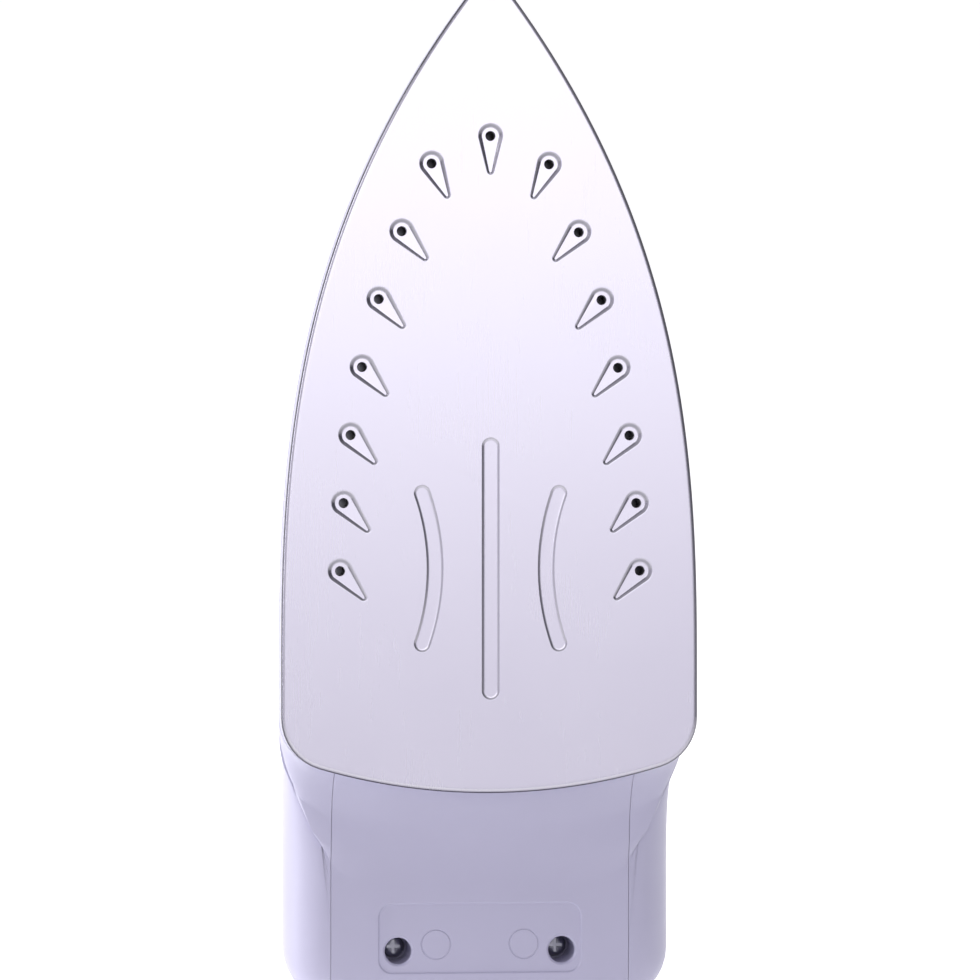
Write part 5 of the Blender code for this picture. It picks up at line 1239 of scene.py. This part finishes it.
def arch(shrink=0.0):
    """The handle's whole form, made smaller by a distance."""
    rings = []
    for inner_y, inner_z, outer_y, outer_z, half_width, narrowing in smooth_ribs():
        inner, outer = Vector((0, inner_y, inner_z)) * mm, Vector((0, outer_y, outer_z)) * mm
        out, half_thickness = (outer - inner).normalized(), (outer - inner).length / 2 - shrink
        ring = []
        for k in range(RIB_POINTS):
            a = 2 * math.pi * k / RIB_POINTS
            across = math.copysign(abs(math.cos(a)) ** (2 / ROUNDNESS), math.cos(a))
            along = math.copysign(abs(math.sin(a)) ** (2 / ROUNDNESS), math.sin(a))
            reach = half_width * mm * (1 - narrowing * (1 + along) / 2) - shrink
            ring.append(Vector((across * reach, 0, 0)) + (inner + outer) / 2 + out * along * half_thickness)
        rings.append(ring)
    if shrink:
        past = Vector((0, 0, -2 * mm))
        rings = [[p + past for p in rings[0]], *rings, [p + past for p in rings[-1]]]
    return loft(rings)


GLAND_AT = Vector((0, -24, 121)) * mm
GLAND_RADIUS, GLAND_TILT, GLAND_SWING = 9 * mm, math.radians(17.5), math.radians(20)
COLLAR_RADIUS, COLLAR_LENGTH, CORD_BORE_RADIUS = 5 * mm, 10 * mm, 3.3 * mm


def gland_direction(swing=0.0):
    return Vector((0, -math.sin(GLAND_TILT + swing), math.cos(GLAND_TILT + swing)))


def behind_heel_plane():
    size = 400 * mm
    block = box((-size / 2, -size, -size / 2), (size / 2, 0, size / 2))
    block.data.transform(Matrix.Translation((0, heel_plane_y(0), 0)) @ Matrix.Rotation(-LEAN, 4, "X"))
    return block


def handle_form():
    """The whole handle: hollow, with the gland's block, trimmed to the deck and the heel rest."""
    made = cut(arch(), body_solid(PLAY), arch(HANDLE_WALL))
    reach = GLAND_RADIUS + 3.5 * mm
    low, high = PARTING_Z - 11 * mm, PARTING_Z + 30 * mm
    block = box((-40 * mm, GLAND_AT.y - reach, low), (40 * mm, GLAND_AT.y + reach, high))
    join(made, keep(block, arch(HANDLE_WALL / 2)))
    return cut(made, behind_heel_plane())


def side_prism(outline, x_from, x_to):
    """An outline in side view, as (y, z) points, drawn out across."""
    return loft([[(x, y, z) for y, z in outline] for x in (x_from, x_to)])


def gland_slot():
    half, far = COLLAR_RADIUS + RUN_PLAY, 26 * mm
    rear, front = gland_direction(GLAND_SWING), gland_direction(-GLAND_SWING)
    side_rear, side_front = Vector((0, -rear.z, rear.y)) * half, Vector((0, front.z, -front.y)) * half
    points = [
        side_rear,
        rear * far + side_rear,
        gland_direction() * far * 1.3,
        front * far + side_front,
        side_front,
    ]
    return side_prism([((GLAND_AT + p).y, (GLAND_AT + p).z) for p in points], -half, half)


def ball(middle, radius):
    return turned(arc(radius, 0, radius, 180, 0, 24), Vector(middle) - Vector((0, 0, radius)))


print(f"arch of {len(list(smooth_ribs()))} sections")

# %% Lower and upper mouldings
BUTTON_X, BUTTON_Y, BUTTON_WIDTH, BUTTON_LENGTH, BUTTON_CORNER = 8.8 * mm, 141 * mm, 14 * mm, 17 * mm, 4 * mm
BUTTON_TOP_Z, BUTTON_HEIGHT = 136.5 * mm, 9.5 * mm
PUMP_RADIUS, PUMP_FROM_Z, PUMP_FLOOR = 6.2 * mm, 91 * mm, 2 * mm
NOZZLE_Z, NOZZLE_RADIUS, NOZZLE_LENGTH, NOZZLE_FRONT_Y = 88 * mm, 4.6 * mm, 11 * mm, 186 * mm
SELECTOR_SEAT_Z, SELECTOR_NECK_RADIUS, TURRET_RADIUS = 132.4 * mm, 4.6 * mm, 10 * mm
PILOT_Y, PILOT_RADIUS = 8 * mm, 2.8 * mm
GRIP_FROM_Y, GRIP_TO_Y, GRIP_HALF_WIDTH, GRIP_DEPTH = 22 * mm, 108 * mm, 13 * mm, 1.4 * mm


def below_parting(gap):
    return box((-90 * mm, -150 * mm, 0), (90 * mm, 250 * mm, PARTING_Z - gap))


def handle_lower():
    made = keep(handle_form(), below_parting(PLAY / 2))
    low = DECK_Z + PLAY
    x, y = HANDLE_SCREW
    for side in (-1, 1):
        boss = upright(side * x, y, low, low + 9 * mm, BOSS_RADIUS)
        near, far = sorted((side * x, side * (x + 7.5 * mm)))
        join(boss, box((near, y - 1.5 * mm, low), (far, y + 1.5 * mm, low + 8 * mm)))
        join(made, keep(boss, arch(HANDLE_WALL / 2)))
        cut(made, upright(side * x, y, low - mm, low + 7 * mm, 1.95 * mm))
    shelf_top = PUMP_FROM_Z - PLAY
    shelf = box(
        (-50 * mm, 100 * mm, shelf_top - 2.5 * mm),
        (50 * mm, BUTTON_Y + PUMP_RADIUS + 1.5 * mm, shelf_top),
    )
    join(made, keep(shelf, arch(HANDLE_WALL / 2)))
    half = BARREL_LENGTH / 2 + LUG_WIDTH + 1 * mm
    cut(made, on_nose(box((-half, HINGE_REACH - 30 * mm, -20 * mm), (half, HINGE_REACH + 3.6 * mm, 40 * mm))))
    cut(made, ball(GLAND_AT, GLAND_RADIUS + RUN_PLAY))
    cut(made, upright(0, GLAND_AT.y, PARTING_Z - 20 * mm, GLAND_AT.z, CORD_BORE_RADIUS + 1 * mm))
    rear = NOZZLE_FRONT_Y - 30 * mm
    cut(
        made,
        turned(
            [(0, NOZZLE_RADIUS + PLAY), (34 * mm, NOZZLE_RADIUS + PLAY)],
            (0, rear, NOZZLE_Z),
            (0, 1, 0),
        ),
    )
    return fit(made, "handle_lower_moulded", LILAC, stands_for=["handle_lower"])


def grip_block(gap=0.0):
    half = GRIP_HALF_WIDTH + gap
    outline = rounded_rectangle(
        2 * half,
        GRIP_TO_Y - GRIP_FROM_Y + 2 * gap,
        half - 2 * mm,
        (0, (GRIP_FROM_Y + GRIP_TO_Y) / 2),
        14,
    )
    return loft([at_height(outline, PARTING_Z + 3 * mm), at_height(outline, PARTING_Z + 40 * mm)])


def button_outline(x, gap=0.0):
    return rounded_rectangle(
        BUTTON_WIDTH + 2 * gap, BUTTON_LENGTH + 2 * gap, BUTTON_CORNER + gap, (x, BUTTON_Y), 10
    )


def handle_upper():
    made = cut(handle_form(), below_parting(-PLAY / 2))
    top = SELECTOR_SEAT_Z - RUN_PLAY
    turret = [(0, TURRET_RADIUS), *arc(top - PARTING_Z - 4 * mm, TURRET_RADIUS - mm, mm, 90, 0, 5)]
    join(
        made,
        turned(
            [*turret, (top - PARTING_Z - 3 * mm, TURRET_RADIUS - 2 * mm)],
            (0, SELECTOR_Y, PARTING_Z + 3 * mm),
        ),
    )
    cut(made, cut(grip_block(PLAY), arch(GRIP_DEPTH + PLAY)))
    for x in (-BUTTON_X, BUTTON_X):
        outline = button_outline(x, RUN_PLAY)
        cut(made, loft([at_height(outline, PARTING_Z), at_height(outline, BUTTON_TOP_Z + 2 * mm)]))
    cut(
        made,
        upright(
            0,
            SELECTOR_Y,
            PARTING_Z - 2 * mm,
            SELECTOR_SEAT_Z + 2 * mm,
            SELECTOR_NECK_RADIUS + RUN_PLAY,
        ),
    )
    cut(made, upright(0, PILOT_Y, PARTING_Z, 140 * mm, PILOT_RADIUS + PLAY))
    cut(made, ball(GLAND_AT, GLAND_RADIUS + RUN_PLAY), gland_slot())
    return fit(made, "handle_upper_moulded", LILAC, stands_for=["handle_upper"])


handle_lower()
handle_upper()

# %% The soft grip


def grip_insert():
    """A soft pad let into the handle's back, with a row of finger ribs."""
    made = cut(keep(arch(), grip_block()), arch(GRIP_DEPTH))
    grooves = []
    for k in range(13):
        y = GRIP_FROM_Y + 13 * mm + 5 * mm * k
        outline = slot([(-7.5 * mm, y), (7.5 * mm, y)], 1.5 * mm)
        grooves.append(
            loft(
                [
                    at_height(outline, handle_top_z(y) - 0.6 * mm),
                    at_height(outline, handle_top_z(y) + 4 * mm),
                ]
            )
        )
    cut(made, merged(grooves))
    return fit(made, "grip_insert_moulded", GREY_LILAC, stands_for=["grip_insert"])


def handle_top_z(y):
    """Height of the handle's outer line at y."""
    line = [(row[2] * mm, row[3] * mm) for row in smooth_ribs() if row[3] > 120]
    for (y0, z0), (y1, z1) in zip(line, line[1:]):
        if y0 <= y <= y1:
            return z0 + (z1 - z0) * (y - y0) / (y1 - y0)
    return line[-1][1]


grip_insert()

# %% [markdown]
# ## Controls
# Everything a thumb or finger works is here: the dial, three buttons, the steam lever, the filler
# cap and the cord's gland. Each rides on the body that its joint moves, so it follows the poses.

# %% Temperature dial and its marks
DIAL_RIDGES, RIDGE_DEPTH = 24, 0.9 * mm


def dial_ring(radius, z, depth=RIDGE_DEPTH):
    """One ring of the dial, with its finger ridges."""
    points = []
    for k in range(DIAL_RIDGES * 8):
        a = 2 * math.pi * k / (DIAL_RIDGES * 8)
        r = radius - depth * (0.5 - 0.5 * math.cos(a * DIAL_RIDGES)) ** 1.6
        points.append((r * math.cos(a), DIAL_Y + r * math.sin(a), z))
    return points


def dial():
    low = DIAL_FLOOR + RUN_PLAY
    top = low + DIAL_HEIGHT
    edge = 1.6 * mm
    rings = [
        dial_ring(DIAL_RADIUS - 0.3 * mm, low),
        dial_ring(DIAL_RADIUS, low + 0.3 * mm),
        dial_ring(DIAL_RADIUS, top - edge),
    ]
    for k in range(1, 6):
        a = math.pi / 2 * k / 5
        fade = RIDGE_DEPTH * (1 - k / 5)
        rings.append(dial_ring(DIAL_RADIUS - edge * (1 - math.cos(a)), top - edge * (1 - math.sin(a)), fade))
    rings.append(dial_ring(DIAL_RADIUS - 3.4 * mm, top, 0))
    rings.append(dial_ring(DIAL_RADIUS - 4.0 * mm, top - 0.35 * mm, 0))
    rings.append(dial_ring(4 * mm, top - 0.7 * mm, 0))
    made = loft(rings)
    cut(made, upright(0, DIAL_Y, low - mm, low + DIAL_HEIGHT / 2, 2.8 * mm))
    notch = slot([(0, DIAL_Y + 17 * mm), (0, DIAL_Y + 22.5 * mm)], 2.2 * mm)
    cut(made, loft([at_height(notch, top - 0.95 * mm), at_height(notch, top + 2 * mm)]))
    fit(made, "dial_ridged", KNOB, body="dial", stands_for=["temperature_dial"])
    mark = slot([(0, DIAL_Y + 17 * mm), (0, DIAL_Y + 22.5 * mm)], 2.0 * mm)
    inlay = loft([at_height(mark, top - 0.93 * mm), at_height(mark, top - 0.72 * mm)])
    fit(inlay, "dial_pointer", INK, body="dial")


def deck_marks():
    """Plain dots round the dial: one, two and three for low, middle and high heat."""
    dots = []
    for count, middle in ((1, -60), (2, -90), (3, -120)):
        for k in range(count):
            a = math.radians(middle + 5.5 * (k - (count - 1) / 2))
            reach = DIAL_RADIUS + 5 * mm
            dots.append(
                upright(
                    reach * math.cos(a),
                    DIAL_Y + reach * math.sin(a),
                    DECK_Z - 0.2 * mm,
                    DECK_Z + 0.05 * mm,
                    0.7 * mm,
                    20,
                )
            )
    return fit(merged(dots), "heat_dots", INK)


dial()
deck_marks()

# %% Self-clean button
CLEAN_PROUD, CLEAN_BOTTOM_Z, TANK_FLOOR_Z = 3.5 * mm, 60 * mm, 30 * mm
CLEAN_STEM = 2 * mm


def dished_top(radius, edge, dish):
    """The end of a round button's profile: rounded edge, then a shallow dish."""
    rounding = [(-edge * (1 - math.sin(a)), radius - edge * (1 - math.cos(a))) for a in LIP_TURNS]
    return rounding + [
        (-dish * (1 - (r / (radius - edge)) ** 2), r)
        for r in (0.8 * radius - edge, 0.5 * radius, 0.25 * radius, 0)
    ]


def clean_button():
    low, top = CLEAN_BOTTOM_Z, DECK_Z + CLEAN_PROUD
    stem = TANK_FLOOR_Z - 1 * mm
    profile = [
        (0, CLEAN_STEM - 0.4 * mm),
        (0.4 * mm, CLEAN_STEM),
        (low - stem, CLEAN_STEM),
        (low - stem, CLEAN_RADIUS),
    ]
    profile += [
        (top - stem + reach, radius)
        for reach, radius in dished_top(CLEAN_RADIUS, 0.9 * mm, 0.5 * mm)
    ]
    made = turned(profile, (0, CLEAN_Y, stem))
    fit(made, "self_clean_moulded", KNOB, body="self_clean", stands_for=["self_clean_button"])


clean_button()

# %% Spray and steam buttons
PISTON_Z, STEM_RADIUS = 108 * mm, 2.2 * mm


def crowned(outline, z, crown, drop):
    """Rings that carry an outline up over a soft edge to a crowned top."""
    rings = []
    for k in range(7):
        a = math.pi / 2 * k / 6
        rings.append(
            at_height(
                inset(outline, crown * (1 - math.cos(a))), z - crown * (1 - math.sin(a)) - drop
            )
        )
    return rings


def pump_button(name, x):
    low, outline = BUTTON_TOP_Z - BUTTON_HEIGHT, button_outline(x)
    rings = [at_height(inset(outline, 0.25 * mm), low), at_height(outline, low + 0.25 * mm)]
    rings += crowned(outline, BUTTON_TOP_Z, 1.5 * mm, 0.35 * mm)
    rings.append(at_height(inset(outline, 3.0 * mm), BUTTON_TOP_Z - 0.16 * mm))
    rings.append(
        [
            (x + 0.25 * (px - x), BUTTON_Y + 0.25 * (py - BUTTON_Y), BUTTON_TOP_Z - 0.1 * mm)
            for px, py in outline
        ]
    )
    made = join(loft(rings), upright(x, BUTTON_Y, PISTON_Z + 0.5 * mm, low + 1 * mm, STEM_RADIUS))
    fit(made, f"{name}_button_moulded", KNOB, body=name, stands_for=[f"{name}_button"])
    if name == "spray":
        symbols = [
            slot([(x + dx, BUTTON_Y + dy - mm), (x + dx, BUTTON_Y + dy)], 1.1 * mm)
            for dx, dy in ((-2 * mm, -mm), (0, 2 * mm), (2 * mm, -mm))
        ]
    else:
        symbols = []
        for shift in (-2 * mm, 0, 2 * mm):
            wave = [
                (x + shift + 0.5 * mm * math.sin(k), BUTTON_Y - 2.5 * mm + 5 * mm * k / 12)
                for k in range(13)
            ]
            symbols.append(slot(wave, 0.6 * mm))
    printed = [loft([at_height(s, BUTTON_TOP_Z - 0.4 * mm), at_height(s, BUTTON_TOP_Z)]) for s in symbols]
    fit(merged(printed), f"{name}_symbol", INK, body=name)


pump_button("spray", BUTTON_X)
pump_button("steam", -BUTTON_X)

# %% Steam lever
SELECTOR_RADIUS, SELECTOR_HEIGHT, SELECTOR_NECK = 8.5 * mm, 4.2 * mm, 16 * mm
LEVER_LENGTH, LEVER_WIDTH, NEEDLE_TOP_Z, NEEDLE_LIFT = 15 * mm, 5 * mm, 124 * mm, 3 * mm


def selector():
    low, high = SELECTOR_SEAT_Z, SELECTOR_SEAT_Z + SELECTOR_HEIGHT
    neck = low - SELECTOR_NECK
    profile = [
        (0, SELECTOR_NECK_RADIUS - 0.3 * mm),
        (0.3 * mm, SELECTOR_NECK_RADIUS),
        (low - neck, SELECTOR_NECK_RADIUS),
    ]
    profile += [(low - neck, SELECTOR_RADIUS - 0.3 * mm), (low - neck + 0.3 * mm, SELECTOR_RADIUS)]
    profile += [
        (high - neck + reach, radius)
        for reach, radius in dished_top(SELECTOR_RADIUS, 1 * mm, 0.45 * mm)
    ]
    made = turned(profile, (0, SELECTOR_Y, neck), sides=64)
    half, top = LEVER_WIDTH / 2, high - 0.6 * mm
    outline = slot([(0, SELECTOR_Y + mm), (0, SELECTOR_Y + LEVER_LENGTH - half)], LEVER_WIDTH)
    rings = [at_height(outline, low), *crowned(outline, top, 0.8 * mm, 0)]
    join(made, loft(rings))
    bore_top = NEEDLE_TOP_Z + NEEDLE_LIFT + 1 * mm
    cut(made, upright(0, SELECTOR_Y, neck - mm, bore_top, NEEDLE_RADIUS + RUN_PLAY))
    for k in range(3):
        y = SELECTOR_Y + 9 * mm + 1.7 * mm * k
        cut(made, box((-half - mm, y, top - 0.3 * mm), (half + mm, y + 0.7 * mm, top + mm)))
    fit(made, "selector_moulded", KNOB, body="selector", stands_for=["steam_selector"])


selector()

# %% Filler cap
CAP_HALF_WIDTH, CAP_LENGTH, CAP_THICKNESS = 12.5 * mm, 27 * mm, 1.9 * mm


def filler_cap():
    rise, edge = RUN_PLAY, 0.7 * mm
    outline = rounded_rectangle(2 * CAP_HALF_WIDTH, CAP_LENGTH, CAP_HALF_WIDTH - 3 * mm, steps=16)
    top = rise + CAP_THICKNESS
    rings = [
        at_height(inset(outline, 0.2 * mm), rise),
        at_height(outline, rise + 0.2 * mm),
        *crowned(outline, top, edge, 0),
    ]
    made = loft(rings)
    half = BARREL_LENGTH / 2
    join(
        made,
        box(
            (-half, CAP_LENGTH / 2 - 3 * mm, rise + 0.02 * mm), (half, HINGE_REACH, top - 0.02 * mm)
        ),
        cross_bar(half, BARREL_RADIUS, 32),
    )
    cut(made, cross_bar(half + 1 * mm, HINGE_PIN_RADIUS + PLAY))
    grip_line = slot([(-5 * mm, -CAP_LENGTH / 2 + 4 * mm), (5 * mm, -CAP_LENGTH / 2 + 4 * mm)], 1.6 * mm)
    cut(made, pocket(grip_line, top - 0.5 * mm, top, 0.15 * mm, 0.2 * mm))
    drop = drop_outline(0, 1.5 * mm, math.pi, 0, 0.75)
    cut(made, pocket(drop, top - 0.3 * mm, top, 0.1 * mm))
    fit(on_nose(made), "filler_cap_moulded", LILAC, body="filler", stands_for=["filler_cap"])


filler_cap()

# %% Spray nozzle, cord gland and pilot lens
PILOT_PROUD = 0.6 * mm


def spray_nozzle():
    rear = NOZZLE_FRONT_Y - NOZZLE_LENGTH
    end = NOZZLE_LENGTH
    profile = [
        (0, NOZZLE_RADIUS),
        (end - 1.6 * mm, NOZZLE_RADIUS),
        (end - 1.2 * mm, NOZZLE_RADIUS - 0.15 * mm),
        (end, 3 * mm),
        (end, 1.6 * mm),
        (end - 0.5 * mm, 1 * mm),
    ]
    made = turned(profile, (0, rear, NOZZLE_Z), (0, 1, 0))
    cut(made, turned([(0, HOSE_RADIUS), (end - 2 * mm, HOSE_RADIUS)], (0, rear - mm, NOZZLE_Z), (0, 1, 0)))
    cut(made, turned([(0, 0.6 * mm), (6 * mm, 0.6 * mm)], (0, NOZZLE_FRONT_Y - 4 * mm, NOZZLE_Z), (0, 1, 0)))
    fit(made, "nozzle_moulded", KNOB, stands_for=["spray_nozzle"])


def cord_gland():
    out = gland_direction()
    made = ball(GLAND_AT, GLAND_RADIUS)
    length = GLAND_RADIUS + COLLAR_LENGTH - 3 * mm
    profile = [(0, COLLAR_RADIUS)]
    reach = 6.4 * mm
    while reach < length - 2 * mm:
        profile += [
            (reach, COLLAR_RADIUS),
            (reach + 0.3 * mm, COLLAR_RADIUS - 0.8 * mm),
            (reach + 0.9 * mm, COLLAR_RADIUS - 0.8 * mm),
        ]
        profile.append((reach + 1.2 * mm, COLLAR_RADIUS))
        reach += 2.2 * mm
    profile += [(length - 0.8 * mm, COLLAR_RADIUS), (length, COLLAR_RADIUS - 0.8 * mm)]
    join(made, turned(profile, GLAND_AT + out * 3 * mm, out))
    cut(
        made,
        turned(
            [(0, CORD_BORE_RADIUS), (5 * GLAND_RADIUS, CORD_BORE_RADIUS)],
            GLAND_AT - out * 2 * GLAND_RADIUS,
            out,
        ),
    )
    fit(made, "gland_moulded", GREY_LILAC, body="gland", stands_for=["cord_gland"])


def pilot_lens():
    top = handle_top_z(PILOT_Y)
    inner = top - HANDLE_WALL
    low, flange, tip = inner - 2.4 * mm, inner - 0.6 * mm, top + PILOT_PROUD
    profile = [
        (0, PILOT_RADIUS + 1.4 * mm),
        (flange - low, PILOT_RADIUS + 1.4 * mm),
        (flange - low, PILOT_RADIUS),
    ]
    for k in range(7):
        a = math.pi / 2 * k / 6
        profile.append((tip - low - 1.1 * mm * (1 - math.sin(a)), PILOT_RADIUS * math.cos(a) ** 0.8))
    made = turned(profile, (0, PILOT_Y, low), sides=40)
    fit(made, "pilot_lens_domed", LENS, stands_for=["pilot_lens"])


spray_nozzle()
cord_gland()
pilot_lens()

# %% [markdown]
# ## Springs
# Each button returns on a coil spring. A spring shortens while its coils keep their form. Each is drawn as a
# wound wire with a mesh of its own.

# %% Coil springs
WIRE_RADIUS, TURNS, PUMP_SPRING_RADIUS = 0.4 * mm, 4, 3.2 * mm


def spring(name, x, y, low, high, radius):
    points = []
    for k in range(TURNS * 28 + 1):
        a = 2 * math.pi * k / 28
        points.append(
            (
                x + radius * math.cos(a),
                y + radius * math.sin(a),
                low + (high - low) * k / (TURNS * 28),
            )
        )
    made = fit(tube(points, WIRE_RADIUS, 10), f"{name}_coiled", PLATED_STEEL, stands_for=[name])
    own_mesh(made)


PISTON_HALF = 2 * mm
pump_low = PUMP_FROM_Z + PUMP_FLOOR + WIRE_RADIUS + PLAY
pump_high = PISTON_Z - PISTON_HALF - WIRE_RADIUS - PLAY
spring("spray_spring", BUTTON_X, BUTTON_Y, pump_low, pump_high, PUMP_SPRING_RADIUS)
spring("steam_spring", -BUTTON_X, BUTTON_Y, pump_low, pump_high, PUMP_SPRING_RADIUS)
clean_low, clean_high = 51 * mm + WIRE_RADIUS + PLAY, CLEAN_BOTTOM_Z - WIRE_RADIUS - PLAY
spring("self_clean_spring", 0, CLEAN_Y, clean_low, clean_high, CLEAN_STEM + 2 * mm)

# %% [markdown]
# ## Inner pieces
# The heater, tank, pumps, hoses and wiring keep their packed form, which already holds their real
# size. They only need the finish of the real stuff: cast, drawn, moulded or fired.

# %% Finishes of the inner pieces
INNER = (
    (CAST_ALUMINIUM, ("heater_casting", "heating_element")),
    (PLATED_STEEL, ("chamber_lid", "fuse_clip", "hinge_pin")),
    (DRAWN_BRASS, ("thermal_fuse", "dial_shaft", "steam_needle")),
    (
        SILICONE,
        (
            "chamber_seal",
            "valve_seat",
            "spray_piston",
            "steam_piston",
            "spray_hose",
            "steam_hose",
            "filler_seal",
        ),
    ),
    (CERAMIC, ("thermostat", "terminal_block", "pilot_lamp")),
    (LEAD, ("lead_live", "lead_neutral", "lead_fuse")),
    (TANK, ("water_tank", "tank_floor", "spray_pump", "steam_pump")),
)
for finish, names in INNER:
    for name in names:
        node = frame["nodes"][name]
        if not node.material_slots:
            node.data.materials.append(finish.material)
        for place in node.material_slots:
            place.material = finish.material
    print(finish.material.name, "on", ", ".join(names))
